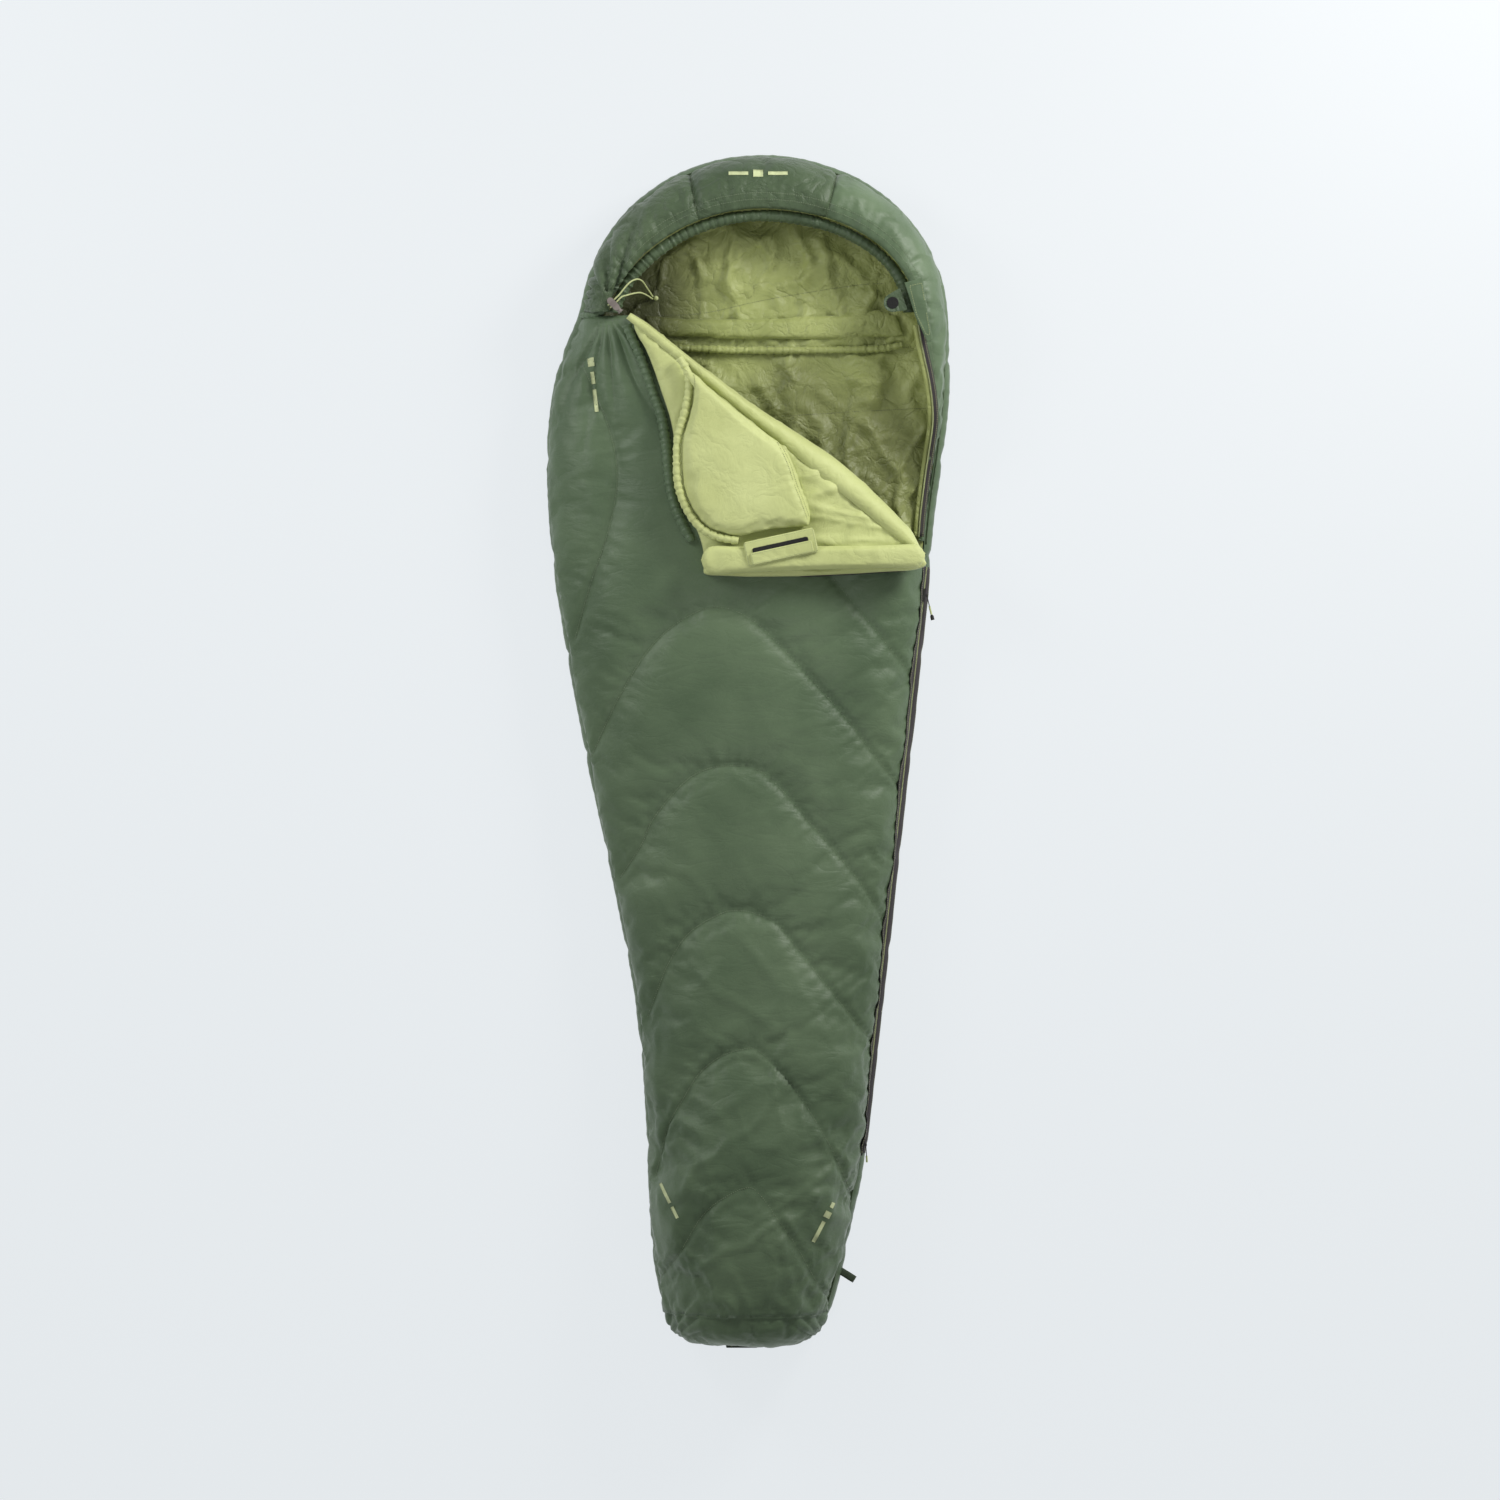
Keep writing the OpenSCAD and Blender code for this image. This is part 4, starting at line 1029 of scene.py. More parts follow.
def outline_points(count):
    """The bag's outline on the ground, found from outside, evenly spaced and anticlockwise."""
    spine_low, spine_high = vec(0, foot_y + 0.03), vec(0.02, hood_c[1])
    up_spine = np.linspace(spine_low[1] + 0.01, spine_high[1] - 0.01, 150)
    out = [(spine_low, vec(math.cos(a), math.sin(a))) for a in np.linspace(-math.pi, 0, 60)]
    out += [(vec(0, y), vec(1, 0)) for y in up_spine]
    out += [(spine_high, vec(math.cos(a), math.sin(a))) for a in np.linspace(0, math.pi, 90)]
    out += [(vec(0, y), vec(-1, 0)) for y in up_spine[::-1]]
    pts = []
    for c, d in out:
        hit = back_tree.ray_cast(Vector((*(c + d * 1.2), side_r)), Vector((-d[0], -d[1], 0)))[0]
        pts.append((hit.x, hit.y))
    return resample(np.array(pts + pts[:1]), count + 1)[:-1]


outline = outline_points(520)
outline = blur(np.concatenate([outline[-40:], outline, outline[:40]]), 4)[40:-40]
step = np.roll(outline, -1, 0) - np.roll(outline, 1, 0)
outward = np.stack([step[:, 1], -step[:, 0]], 1)
outward /= np.linalg.norm(outward, axis=1, keepdims=True)
turn = math.asin((seam_z - side_r) / side_r)
around = along(np.concatenate([outline, outline[:1]]))[:-1]
side_rows, base_rows = 14, 16
side_angles = np.linspace(turn, -math.pi / 2, side_rows)
rings = []
for a in side_angles:
    p = outline - outward * side_r * (1 - math.cos(a))
    rings.append(np.column_stack([p, np.full(len(p), side_r * (1 + math.sin(a)))]))
spine_y = np.clip(outline[:, 1], foot_y + 0.09, hood_c[1])
spine = np.column_stack([spine_y * 0.01, spine_y])
base_ring = rings[-1][:, :2]
for k in np.linspace(0.93, 0.0, base_rows):
    p = spine + (base_ring - spine) * k
    rings.append(np.column_stack([p, np.zeros(len(p))]))
back_rings = np.array(rings)
back_seams = np.linspace(foot_y + 0.12, hood_c[1] + 0.1, 11)
to_seam = np.min(np.abs(back_rings[..., 1][..., None] - back_seams), axis=-1)
edge = np.minimum(1, np.arange(len(back_rings)) / 4)[:, None]
wobble = noise(np.column_stack([outline, np.zeros(len(outline))]), 0.06, 83)
puckers = np.sin(2 * math.pi * around / 0.024 + 3 * wobble)
near_piping = np.exp(-((np.arange(len(back_rings)) - 1.5) / 3.0) ** 2)[:, None]
shift = -3.5 * MM * np.exp(-(to_seam / 0.010) ** 2) * edge
shift += 1.4 * MM * puckers[None] * near_piping
shift += 1.6 * MM * noise(back_rings, 0.05, 81) * edge
back_n = np.zeros_like(back_rings)
for i, a in enumerate(side_angles):
    back_n[i, :, :2] = outward * math.cos(a)
    back_n[i, :, 2] = math.sin(a)
back_n[side_rows:, :, 2] = -1
back_surface = back_rings + back_n * shift[..., None]
back_surface[..., 2] = np.maximum(back_surface[..., 2], 0.0)
back_surface[0] = back_rings[0]
rows, cols = back_surface.shape[:2]
hem_inside = back_surface[0] - np.column_stack([outward * shell_t, np.zeros(cols)])
verts = np.concatenate([hem_inside, back_surface.reshape(-1, 3)])
back_piece = piece("back_quilt", verts, quads(rows + 1, cols, 0, True, True), shell)
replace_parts(back_piece, "back_shell", "back_insulation")

# Front and back are sewn together along this line.
seam_plan = outline - outward * side_r * (1 - math.cos(turn))
seam_line = np.column_stack([seam_plan, np.full(len(outline), seam_z)])

# ---------- back lining ----------

lining_tree = tree_of("back_lining")
lining_low, lining_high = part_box("back_lining")
rows_y = np.arange(lining_low[1] + 0.004, lining_high[1] - 0.002, 0.0065)
floor_cols = 110
lining_grid = []
for y in rows_y:
    left = side_hit(lining_tree, y, -1, lining_z - 0.0007)
    right = side_hit(lining_tree, y, 1, lining_z - 0.0007)
    lining_grid.append([(x, y, lining_z) for x in np.linspace(left, right, floor_cols)])
lining_grid = np.array(lining_grid)
lining_seams = [[(-165, 800), (-82, 804), (41, 830), (189, 854), (250, 858)],
                [(-180, 735), (0, 728), (150, 731), (300, 742)],
                [(60, 614), (190, 622), (345, 630)]]


def level(route, z, steps):
    """A smooth plan curve at one height."""
    line = spline(plan(route), steps)
    return np.column_stack([line, np.full(len(line), z)])


lining_lines = [level(route, lining_z, 30) for route in lining_seams]
floor_base, _ = quilted(lining_grid, lining_lines, 3.0 * MM, 6 * MM, 1.6 * MM, 5 * MM, 91)
wander = np.stack([noise(floor_base, 0.05, 98), noise(floor_base, 0.05, 99), floor_base[..., 0] * 0], -1)
wander = floor_base + 0.02 * wander
for slant, wide, long, tall, seed in ((8, 0.060, 0.22, 11.0, 93), (-35, 0.050, 0.15, 9.0, 94),
                                      (55, 0.040, 0.12, 7.0, 96), (-70, 0.028, 0.08, 4.5, 97)):
    floor_base[..., 2] += tall * MM * (creases(turned(wander, slant), (wide, long, 1), seed) - 0.15)
floor_base[..., 2] += 4.0 * MM * noise(floor_base, 0.09, 95)
floor_base[..., 2] = np.maximum(floor_base[..., 2], lining_z - 0.001)
edge_fade = np.minimum(1, np.minimum(np.arange(floor_cols), np.arange(floor_cols)[::-1]) / 5)
floor_base[..., 2] = lining_z + (floor_base[..., 2] - lining_z) * edge_fade
lining_under = lifted(floor_base, -1.5 * MM)
lining_piece = slab("back_lining_cloth", floor_base, lining_under, lining)
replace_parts(lining_piece, "back_lining")

# ---------- flap pieces ----------


def flap_wrinkles(v):
    """Folds of the flap's lining, sharper and lengthwise near the zip."""
    upper = v[:, 2] > (flap_low[2] + flap_high[2]) / 2
    rise = 3.2 * MM * (creases(turned(v, -38), (0.030, 0.12, 1), 101) - 0.2) + 2.0 * MM * noise(v, 0.05, 103)
    wander = v + 0.010 * noise(v, 0.07, 104)[:, None]
    near_zip = smoothstep((v[:, 0] - 0.06) / 0.06)
    rise = rise + 7.0 * MM * near_zip * (creases(turned(wander, -6), (0.16, 0.022, 1), 102) - 0.3)
    return lifted(v, rise * upper)


# The flap's upper faces take the lining colour painted lighter as if lit, and the rest takes the shell.
finished_pad("flap_pad", ["flap_insulation", "flap_lining", "flap_shell"], [shell, painted_lit_lining], "flap",
             flap_wrinkles, lambda c: c[:, 2] > flap_low[2] + 0.012)
collar_low, collar_high = [np.array(c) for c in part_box("collar_front")]
collar_seam = level([(26, 625), (56, 579), (84, 524), (98, 482), (110, 452), (122, 418)], 0, 8)
collar_seam = resample(collar_seam, 60)


def collar_shape(v):
    """Sinks the collar's side seam, with its puckers, and leaves a soft swell elsewhere."""
    far, pos = distance_to([collar_seam], v * vec(1, 1, 0))
    sunk = -14 * MM * np.exp(-(far / 0.008) ** 2)
    beside = np.exp(-far / 0.016) * (1 - np.exp(-(far / 0.004) ** 2))
    puckers = 4.0 * MM * np.sin(2 * math.pi * pos / 0.014) * beside
    upper = smoothstep((v[:, 2] - collar_low[2]) / (collar_high[2] - collar_low[2]) * 2 - 0.6)
    return lifted(v, (sunk + puckers) * upper + 1.8 * MM * noise(v, 0.045, 105))


# The collar and the draft tube take the lining colour painted lighter as if lit.
collar_skin = finished_pad("collar_front_pad", "collar_front", painted_lit_lining, "flap",
                           collar_shape)
finished_pad("draft_tube_pad", "draft_tube_flap", painted_lit_lining, "flap",
             lambda v: lifted(v, 2.0 * MM * noise(v, (0.02, 0.05, 0.05), 107)))
finished_pad("collar_back_pad", "collar_back", lining, "bag",
             lambda v: lifted(v, 2.0 * MM * noise(v, 0.03, 109)))

# The fold itself is one strip of cloth from the front's inside over to the flap's lining.
fold_rows, fold_cols = 110, 26
fold_length = np.linalg.norm(fold_b - fold_a)
t = np.linspace(0.045, 0.99, fold_rows)
bulge = (8 + 25 * np.exp(-((t - 0.70) / 0.24) ** 2)) * MM * smoothstep((1 - t) / 0.08) * smoothstep(t / 0.1)
low_z, high_z = flap_low[2] - 0.038, flap_high[2] - 0.001
strip = np.zeros((fold_rows, fold_cols, 3))
for j, a in enumerate(np.linspace(-0.5 * math.pi, 0.5 * math.pi, fold_cols)):
    line = fold_a[None, :2] + (t * fold_length)[:, None] * fold_dir[None, :2]
    line = line + fold_out[None, :2] * (bulge * math.cos(a) ** 0.9)[:, None]
    strip[:, j, :2] = line
    strip[:, j, 2] = (low_z + high_z) / 2 + (high_z - low_z) / 2 * math.sin(a)
strip[:, -1, :2] -= fold_out[:2] * 0.012
strip[:, 0, :2] -= fold_out[:2] * 0.006
strip = crumpled(strip, 0.035, 2.0 * MM, 0, 111)
fold_inside = strip - normals(strip) * 1.5 * MM
# The fold takes the lining colour painted lighter as if lit.
fold_piece = slab("fold_roll", strip, fold_inside, painted_lit_lining, ride=False)
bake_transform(fold_piece)

neck_low, neck_high = [np.array(c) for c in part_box("neck_hem")]
neck_route = [(-221, 775), (-214, 755), (-201, 727), (-187, 690), (-173, 648), (-158, 605), (-150, 557),
              (-146, 510), (-138, 458), (-120, 412), (-103, 380)]
neck_line = level(neck_route, (neck_low[2] + neck_high[2]) / 2, 6)
gathered_hem("neck_hem_gathers", "neck_hem", neck_line, 9 * MM, shell, "flap", 73)

# ---------- drawcord channels of the collar, and the lower draft tube ----------

channel_z = sum(c[2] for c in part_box("collar_back_channel")) / 2
channel_route = [(-185, 747), (-120, 739), (0, 735), (120, 735), (240, 738), (283, 745)]
channel_line = level(channel_route, channel_z, 8)
gathered_hem("collar_channel_gathers", "collar_back_channel", channel_line, 7 * MM, lining, "bag", 75)
collar_route = [(-126, 712), (-112, 690), (-108, 659), (-115, 616), (-128, 570), (-130, 524), (-127, 478),
                (-112, 438), (-88, 405), (-56, 387), (-18, 380)]
collar_z = collar_low[2] + 0.55 * (collar_high[2] - collar_low[2])
collar_line = level(collar_route, collar_z, 8)
gathered_hem("collar_hem_gathers", None, collar_line, 7.5 * MM, painted_lit_lining, "flap", 77)


def reach(node, direction):
    """How far a node goes from the origin along a direction, at least and at most."""
    d = np.array([v.co for v in nodes[node].data.vertices]) @ direction
    return d.min(), d.max()


def zip_place(s, out, z):
    """A place s down the zip and out from the origin's line along it, at height z."""
    return down_zip * s + zip_out * out + vec(0, 0, z)


tube_s, tube_out = reach("draft_tube_lower", down_zip), reach("draft_tube_lower", zip_out)
tube_z = sum(c[2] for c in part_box("draft_tube_lower")) / 2
tube_line = np.array([zip_place(s, sum(tube_out) / 2, tube_z) for s in np.linspace(*tube_s, 80)])
gathered_hem("draft_tube_lower_cloth", "draft_tube_lower", tube_line, 12 * MM, painted_lit_lining, "bag", 79,
             flat=0.54)

# ---------- zip ----------

front_skin = grid_tree(front_top)
hood_skin = grid_tree(hood_top)
back_skin = grid_tree(back_surface)
coil_s, coil_out = reach("zip_coil_front", down_zip), sum(reach("zip_coil_front", zip_out)) / 2
tape_out = sum(reach("zip_tape_front", zip_out)) / 2
straight = np.linspace(*coil_s, 240)


def tape_on(name, node, skin, fixed, laid_z):
    """One half's tape: it stands beside the coil, and then lies on the cloth it is sewn to."""
    rows = []
    for s in straight:
        row = [zip_place(s, tape_out, z) for z in fixed]
        for z in laid_z:
            hit, up = skin.ray_cast(Vector(zip_place(s, 0.6, z)), Vector(-zip_out))[:2]
            if hit is None or np.array(hit) @ zip_out < tape_out - 11 * MM:
                row.append(row[-1] + vec(0, 0, 0.002))
            else:
                outwards = 1 if up.dot(Vector(zip_out)) > 0 else -1
                row.append(np.array(hit) + np.array(up) * outwards * 1.4 * MM)
        row.sort(key=lambda p: p[2])
        rows.append(row)
    g = np.array(rows)
    out = g @ zip_out
    widest = np.max([np.roll(out, k, 0) for k in (-2, -1, 0, 1, 2)], 0)
    widest[:3] = out[:3]
    g = g + zip_out * (blur(widest, 1) - out)[..., None]
    obj = slab(name, g, g - normals(g) * 0.7 * MM, tape_cloth)
    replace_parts(obj, node)
    return g


front_tape = tape_on("zip_tape_front_woven", "zip_tape_front", front_skin, [coil_z + 0.3 * MM],
                     np.linspace(coil_z + 3 * MM, coil_z + 11 * MM, 5))
back_fixed = np.linspace(seam_z + 1.5 * MM, coil_z - 0.3 * MM, 3)
back_tape = tape_on("zip_tape_back_woven", "zip_tape_back", back_skin, back_fixed,
                    np.linspace(seam_z - 14 * MM, seam_z - 1 * MM, 6))
for name, tape, column in (("front", front_tape, -2), ("back", back_tape, 1)):
    stitches(f"zip_thread_{name}", [tape[:, column]], grid_tree(tape), light_thread,
             wide=1.3, lift=0.5)
for name, up_by in (("front", 1.4), ("back", -1.4)):
    line = np.array([zip_place(s, coil_out, coil_z + up_by * MM) for s in straight])
    coil(f"zip_coil_{name}_wound", f"zip_coil_{name}", line, 1.0, "bag")


def band_line(node, span, search, across_y):
    """The middle line of a flat band that is a CAD node, found from above.

    The band runs along y, or along x where across_y is true. span is its reach along that axis, and search
    is the range of the other one.
    """
    tree = tree_of(node)
    out = []
    for a in np.arange(*span, 0.008):
        places = [(b, a) if not across_y else (a, b) for b in np.arange(*search, 0.001)]
        hits = [(x, y, z) for (x, y), z in ((p, drop(tree, *p)) for p in places) if z is not None]
        if hits:
            hits = np.array(hits)
            out.append((hits[:, 0].mean(), hits[:, 1].mean(), hits[:, 2].max()))
    return np.array(out)


tape_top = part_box("zip_tape_back")[1]
open_line = band_line("zip_tape_back", (hood_grid[-1, 0, 1] + 0.008, tape_top[1]), (0.25, 0.42), False)
open_line = blur(open_line, 2)
flat_tape = [(-5.6, -0.8), (-5.6, 0.1), (-2, 0.25), (2, 0.25), (5.6, 0.1), (5.6, -0.8)]
open_tape = sweep("zip_tape_open_woven", open_line, plan(flat_tape), tape_cloth, "bag")
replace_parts(open_tape, "zip_tape_back")
_, open_side, _ = axes_along(open_line)
coil("zip_coil_open_wound", "zip_coil_back", lifted(open_line - open_side * 4 * MM, 1.2 * MM), 1.1, "bag")
sweep_tree = grid_tree(np.stack([open_line - open_side * 6 * MM, open_line + open_side * 6 * MM], 1))
stitches("zip_thread_open", [open_line + open_side * 3.5 * MM], sweep_tree, light_thread,
         wide=1.3, lift=0.6)
facing_section = [(-3.6, -2.5), (-4, -0.5), (-2, 0.9), (2, 0.9), (3.6, 0), (3.6, -1.2), (0, -1.2)]
facing_line = lifted(open_line - open_side * 10 * MM, -1.0 * MM)
facing_line = lifted(facing_line, 1.0 * MM * noise(facing_line, 0.03, 121))
sweep("side_facing", facing_line, plan(facing_section), lining, "bag")

flap_line = band_line("zip_tape_flap", (-0.05, 0.32), (0.25, 0.37), True) + vec(0, 9 * MM, 0)
narrow_tape = [(-2.4, -0.8), (-2.4, 0), (2.4, 0), (2.4, -0.8)]
flap_tape = sweep("zip_tape_flap_woven", flap_line, plan(narrow_tape), tape_cloth, "flap")
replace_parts(flap_tape, "zip_tape_flap")
flap_coil_z = sum(c[2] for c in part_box("zip_coil_flap")) / 2
_, flap_side, _ = axes_along(flap_line)
coil("zip_coil_flap_wound", "zip_coil_flap",
     lifted(flap_line + flap_side * 1 * MM, flap_coil_z - flap_line[:, 2].mean()), 1.0, "flap")

# ---------- gathers where the hood meets the front, beside the cord lock ----------

ridge = []
for t in np.linspace(0, 1, 40):
    x, y = -0.306 + 0.052 * t, neck_y - 0.001 + 0.012 * t ** 3
    z = drop(front_skin, x, min(y, neck_y - 0.006))
    ridge.append((x, y, (z if z is not None else seam_z + 0.006) - 0.004))
gathered_hem("neck_side_gathers", None, blur(np.array(ridge), 1.5), 6.5 * MM, shell, "bag", 85, flat=0.8)

# ---------- thread of the seams ----------

quilt_lines = [on_surface(front_skin, p) for p in arches + loose_seams]
stitches("quilting_thread", quilt_lines, front_skin, thread_stuff, wide=1.5, lift=0.6)
hood_lines = [hood_top[k] for k in hood_seam_rows]
hood_lines += [hood_top[:, -4], hood_top[:, -6], hood_top[arch_rows + 12:, 5]]
stitches("hood_thread", hood_lines, hood_skin, thread_stuff, wide=1.3, lift=0.6)
lining_skin = grid_tree(floor_base)
# The lining's stitches are in the thread painted dark for seam shade.
stitches("lining_thread", [on_surface(lining_skin, p) for p in lining_seams], lining_skin, dark_thread,
         gap=0.5, wide=1.3, lift=0.5)
back_lines = []
for y in back_seams:
    cut = np.argmin(np.abs(back_surface[..., 1] - y), axis=0)
    line = back_surface[cut, np.arange(cols)]
    side_points = line[(np.abs(line[:, 1] - y) < 0.012)]
    for side in (-1, 1):
        half = side_points[side_points[:, 0] * side > 0]
        if len(half) < 3:
            continue
        highest = half[np.argsort(half[:, 2])][-1]
        centre = vec(highest[0] - side * 0.03, y, side_r)
        angles = np.linspace(turn * 0.9, -math.pi / 2, 12)
        seam_rays = [vec(side * math.cos(a), 0, math.sin(a)) for a in angles]
        hits = [back_skin.ray_cast(Vector(centre + ray * 0.2), Vector(-ray))[0] for ray in seam_rays]
        hits = [np.array(hit) for hit in hits if hit is not None]
        if len(hits) > 3:
            back_lines.append(np.array(hits))
stitches("side_thread", back_lines, back_skin, thread_stuff, wide=1.2, lift=0.5)

# Piping lies in the seam between front and back, all round but for the zip.
zip_span = (zip_place(coil_s[1], 0, 0)[1] - 0.01, zip_place(coil_s[0], 0, 0)[1] + 0.01)
beside = (seam_line[:, 0] > 0) & (seam_line[:, 1] > zip_span[0]) & (seam_line[:, 1] < zip_span[1])
first = int(np.flatnonzero(beside & ~np.roll(beside, -1))[-1]) + 1
piping_line = np.roll(seam_line, -first, axis=0)[:int((~beside).sum())]
piping_out = np.roll(outward, -first, axis=0)[:len(piping_line)]
piping_line = piping_line + np.column_stack([piping_out * 1.2 * MM, np.zeros(len(piping_out))])
sweep("side_piping", resample(piping_line, 900), ring(1.7 * MM, 8), hood_cloth, "bag")

# ---------- tab, guard, loop and label ----------


def strap(name, node, direction, stuff, body, round_by=3 * MM, wave=1.2 * MM, thread=None, bars=()):
    """A flat piece of cloth or tape in the place of its CAD node, with soft corners and a sewn edge."""
    across = np.cross((0, 0, 1), direction)
    (u0, u1), (v0, v1), (z0, z1) = [reach(node, d) for d in (direction, across, vec(0, 0, 1))]

    def at(u, v, inset=0.0):
        middle, half = (v0 + v1) / 2, (v1 - v0) / 2 - inset
        near_end = np.minimum(u - u0, u1 - u) / round_by
        half = half * (1 - 0.25 * (1 - np.clip(near_end, 0, 1)) ** 2)
        p = direction * u + across * (middle + half * v)
        return p + vec(0, 0, z1 + wave * noise(p * vec(1, 1, 0), 0.022, 131))

    g = np.array([[at(u, v) for v in np.linspace(-1, 1, 12)] for u in np.linspace(u0, u1, 40)])
    if normals(g)[20, 6, 2] < 0:
        g = g[:, ::-1]
    obj = slab(name, g, g - vec(0, 0, z1 - z0), stuff, body)
    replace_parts(obj, node)
    if thread:
        edge = 2.5 * MM
        corners = [(u0 + edge, -1), (u1 - edge, -1), (u1 - edge, 1), (u0 + edge, 1), (u0 + edge, -1)]
        rows = []
        for a, b in zip(corners, corners[1:]):
            ways = [vec(*a) + (vec(*b) - vec(*a)) * t for t in np.linspace(0, 1, 24)]
            rows.append(np.array([at(*way, edge) for way in ways]))
        stitches(name + "_thread", rows, grid_tree(g), thread, body, 2.2, 0.9, 0.8, 0.4)
    for k, (a, b, v) in enumerate(bars):
        row = np.array([at(u0 + (u1 - u0) * t, v) for t in np.linspace(a, b, 12)])
        stitches(f"{name}_bar_{k}", [row], grid_tree(g), light_thread, body, 3.0, 0.1, 1.6, 0.4)


tab_way = vec(*joints["collar_tab_fold"]["axis"])
tab_way[2] = 0
for name, node, stuff, slot, thread in (
        ("collar_tab_cloth", "collar_tab", painted_lit_lining, "collar_fabric", thread_stuff),
        ("tab_hook_tape", "tab_hook_strip", hook_cloth, "hook_tape", None),
        ("tab_cover_cloth", "tab_cover", painted_lit_lining, "collar_fabric", thread_stuff)):
    strap(name, node, unit(tab_way), stuff, "collar_tab", thread=thread)
strap("foot_label_woven", "foot_label", vec(1, 0, 0), label_cloth, "bag", 2 * MM, 0.6 * MM,
      bars=[(0.12, 0.30, 0.2), (0.12, 0.22, -0.2), (0.42, 0.58, 0.0), (0.70, 0.88, 0.2), (0.78, 0.88, -0.2)])


def softened(name, node, stuff, body, voxel, shape=None):
    """A sewn piece of cloth made from its CAD solid, on a fine even mesh."""
    verts, faces = remeshed(node, voxel, 0)
    verts = lifted(verts, 1.3 * MM * noise(verts * vec(1, 1, 0), 0.016, 133))
    if shape:
        verts = shape(verts)
    obj = piece(name, verts, faces, stuff, None, body)
    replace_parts(obj, node)
    return BVHTree.FromPolygons([Vector(v) for v in verts], faces)


guard_joint = joints["zip_guard_tab_fold"]
guard_way = unit(vec(*guard_joint["axis"]))
guard_at = vec(*guard_joint["pos_m"])


def guard_curl(v):
    """The guard's tab curls up away from its sewn edge."""
    d = v - guard_at
    off = np.linalg.norm(np.cross(d * vec(1, 1, 0), guard_way), axis=1)
    return lifted(v, 5 * MM * np.clip(off / 0.04, 0, 1.2) ** 2)


guard_skin = softened("zip_guard_cloth", "zip_guard", shell, "bag", 1.2 * MM)
softened("zip_guard_tab_cloth", "zip_guard_tab", hood_cloth, "zip_guard_tab", 1.0 * MM,
         guard_curl)
softened("guard_hook_tape", "guard_hook_patch", hook_cloth, "zip_guard_tab", 0.6 * MM,
         guard_curl)
guard_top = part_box("zip_guard")[1][2]
guard_outline = [(292, 850), (316, 856), (326, 795), (333, 752), (326, 750), (306, 792), (292, 850)]
guard_line = np.array([(x, y, guard_top) for x, y in plan(guard_outline)])
guard_middle = guard_line.mean(0)
guard_hem = guard_middle + (resample(guard_line, 80) - guard_middle) * 0.9
stitches("guard_thread", [guard_hem], guard_skin, light_thread, wide=1.4, lift=0.5)

loop_turn = math.radians(-32)
loop_way = vec(math.cos(loop_turn), math.sin(loop_turn), 0)
loop_side = vec(-math.sin(loop_turn), math.cos(loop_turn), 0)
loop_root = vec(*joints["hang_loop_swing"]["pos_m"])
loop_r, loop_straight = 3.7 * MM, 15 * MM
bow = [(x, loop_r * (1 + 0.35 * math.sin(math.pi * max(0, x) / loop_straight)))
       for x in np.linspace(-12 * MM, loop_straight, 20)]
bend = [(loop_straight + loop_r * math.sin(a), loop_r * math.cos(a))
        for a in np.linspace(0.2, math.pi - 0.2, 12)]
loop_path = bow + bend + [(x, -z) for x, z in bow[::-1]]
loop_line = np.array([loop_root + loop_way * x + vec(0, 0, z) for x, z in loop_path])
loop_up = np.cross(np.gradient(loop_line, axis=0), loop_side)
webbing_section = [(-6.5, -0.7), (-6.5, 0.7), (-2, 0.8), (2, 0.8), (6.5, 0.7), (6.5, -0.7), (2, -0.8),
                   (-2, -0.8)]
loop_piece = sweep("hang_loop_webbing", loop_line, plan(webbing_section), webbing, "hang_loop",
                   loop_up)
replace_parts(loop_piece, "hang_loop")

# ---------- plain printed marks, and ribs on the cord lock ----------


def marks(name, skin, centre, turn_by, bars, lift=1.1, steps=26):
    """Printed bars on a surface. bars are [x0, y0, x1, y1, width] in millimetres about the centre."""
    verts, faces = [], []
    c, w = math.cos(math.radians(turn_by)), math.sin(math.radians(turn_by))
    for x0, y0, x1, y1, wide in bars:
        along_bar = unit(vec(x1 - x0, y1 - y0))
        off = vec(-along_bar[1], along_bar[0]) * wide / 2
        top = []
        for t in np.linspace(0, 1, steps):
            for k in (-1, 0, 1):
                x, y = vec(x0, y0) + vec(x1 - x0, y1 - y0) * t + off * k
                px = centre[0] + (x * c - y * w) * MM
                py = centre[1] + (x * w + y * c) * MM
                z = drop(skin, px, py)
                top.append((px, py, (z if z is not None else 0) + lift * MM))
        top = np.array(top)
        base = len(verts)
        half, last = 3 * steps, 3 * (steps - 1)
        verts += list(top) + list(top - vec(0, 0, 0.9 * MM))
        faces += quads(steps, 3, base) + quads(steps, 3, base + half, True)
        rim = [*range(0, last + 1, 3), last + 1, *range(last + 2, 1, -3), 1]
        for a, b in zip(rim, rim[1:] + rim[:1]):
            faces.append([base + a, base + half + a, base + half + b, base + b])
    piece(name, np.array(verts), faces, print_ink)


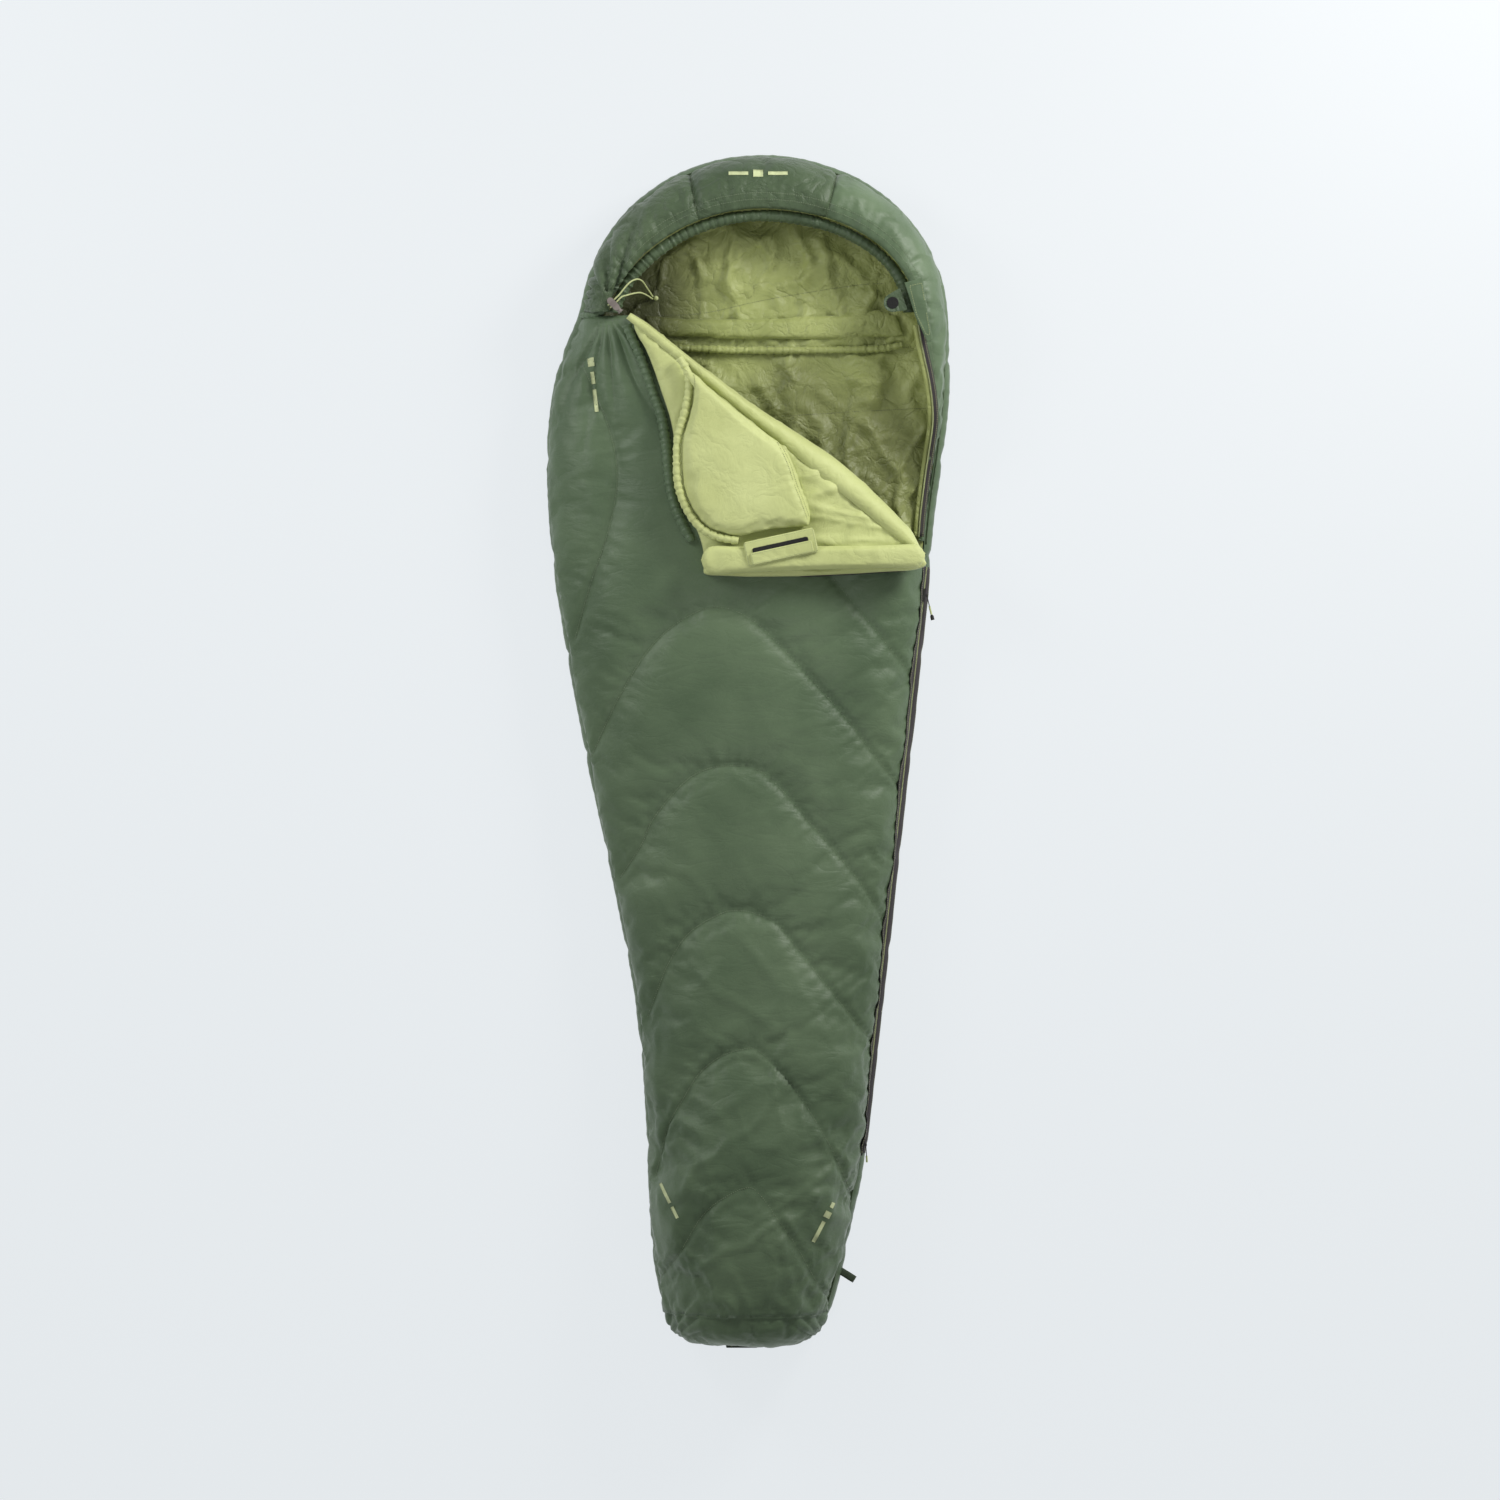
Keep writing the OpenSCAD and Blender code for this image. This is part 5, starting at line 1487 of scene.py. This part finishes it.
marks("print_hood", hood_skin, (0.018, 1.052), 0, [(-54, 0, -18, 0, 7), (-9, 0, 9, 0, 14), (18, 0, 54, 0, 7)])
marks("print_shoulder", front_skin, (-0.283, 0.668), 97,
      [(-50, 0, -8, 0, 7), (2, 0, 24, 0, 7), (34, 0, 50, 0, 12)])
marks("print_foot_right", front_skin, (0.136, -0.862), 62,
      [(-38, 0, 4, 0, 7), (12, 0, 24, 0, 12), (32, 0, 42, 0, 7)])
marks("print_foot_left", front_skin, (-0.145, -0.822), -62, [(-34, 0, 4, 0, 6), (12, 0, 34, 0, 6)])

lock_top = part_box("cord_lock_body")[1][2]
rib_verts, rib_faces = [], []
for k in np.linspace(-6.5, 4.5, 6):
    for a in (-1, 1):
        for b in (-1, 1):
            p = lock_at + lock_turn * (k + a * 0.45) * MM + lock_along * b * 6.2 * MM
            rib_verts += [(p[0], p[1], lock_top - 0.2 * MM),
                          (p[0], p[1], lock_top + (0.7 - 0.25 * abs(b)) * MM)]
    r = len(rib_verts) - 8
    rib_faces += [[r, r + 1, r + 3, r + 2], [r + 4, r + 6, r + 7, r + 5], [r, r + 4, r + 5, r + 1],
                  [r + 2, r + 3, r + 7, r + 6], [r + 1, r + 5, r + 7, r + 3], [r, r + 2, r + 6, r + 4]]
# The collar's seam stitches are in the thread painted dark for seam shade.
seam_rows = []
for off in (-15, -10):
    shifted = [(x + off * MM, y, drop(collar_skin, x + off * MM, y)) for x, y, _ in collar_seam]
    seam_rows.append(np.array([p for p in shifted if p[2] is not None]))
hem_row = [(x + 11 * MM, y - 2 * MM, drop(collar_skin, x + 11 * MM, y - 2 * MM)) for x, y, _ in collar_line]
seam_rows.append(np.array([p for p in hem_row if p[2] is not None]))
stitches("collar_thread", seam_rows, collar_skin, dark_thread, "flap", 3.0, 0.4, 1.3, 0.4)

ribs = piece("cord_lock_ribs", rib_verts, rib_faces, lock_plastic, None, "cord_lock")
ribs.data.polygons.foreach_set("use_smooth", np.zeros(len(rib_faces), bool))
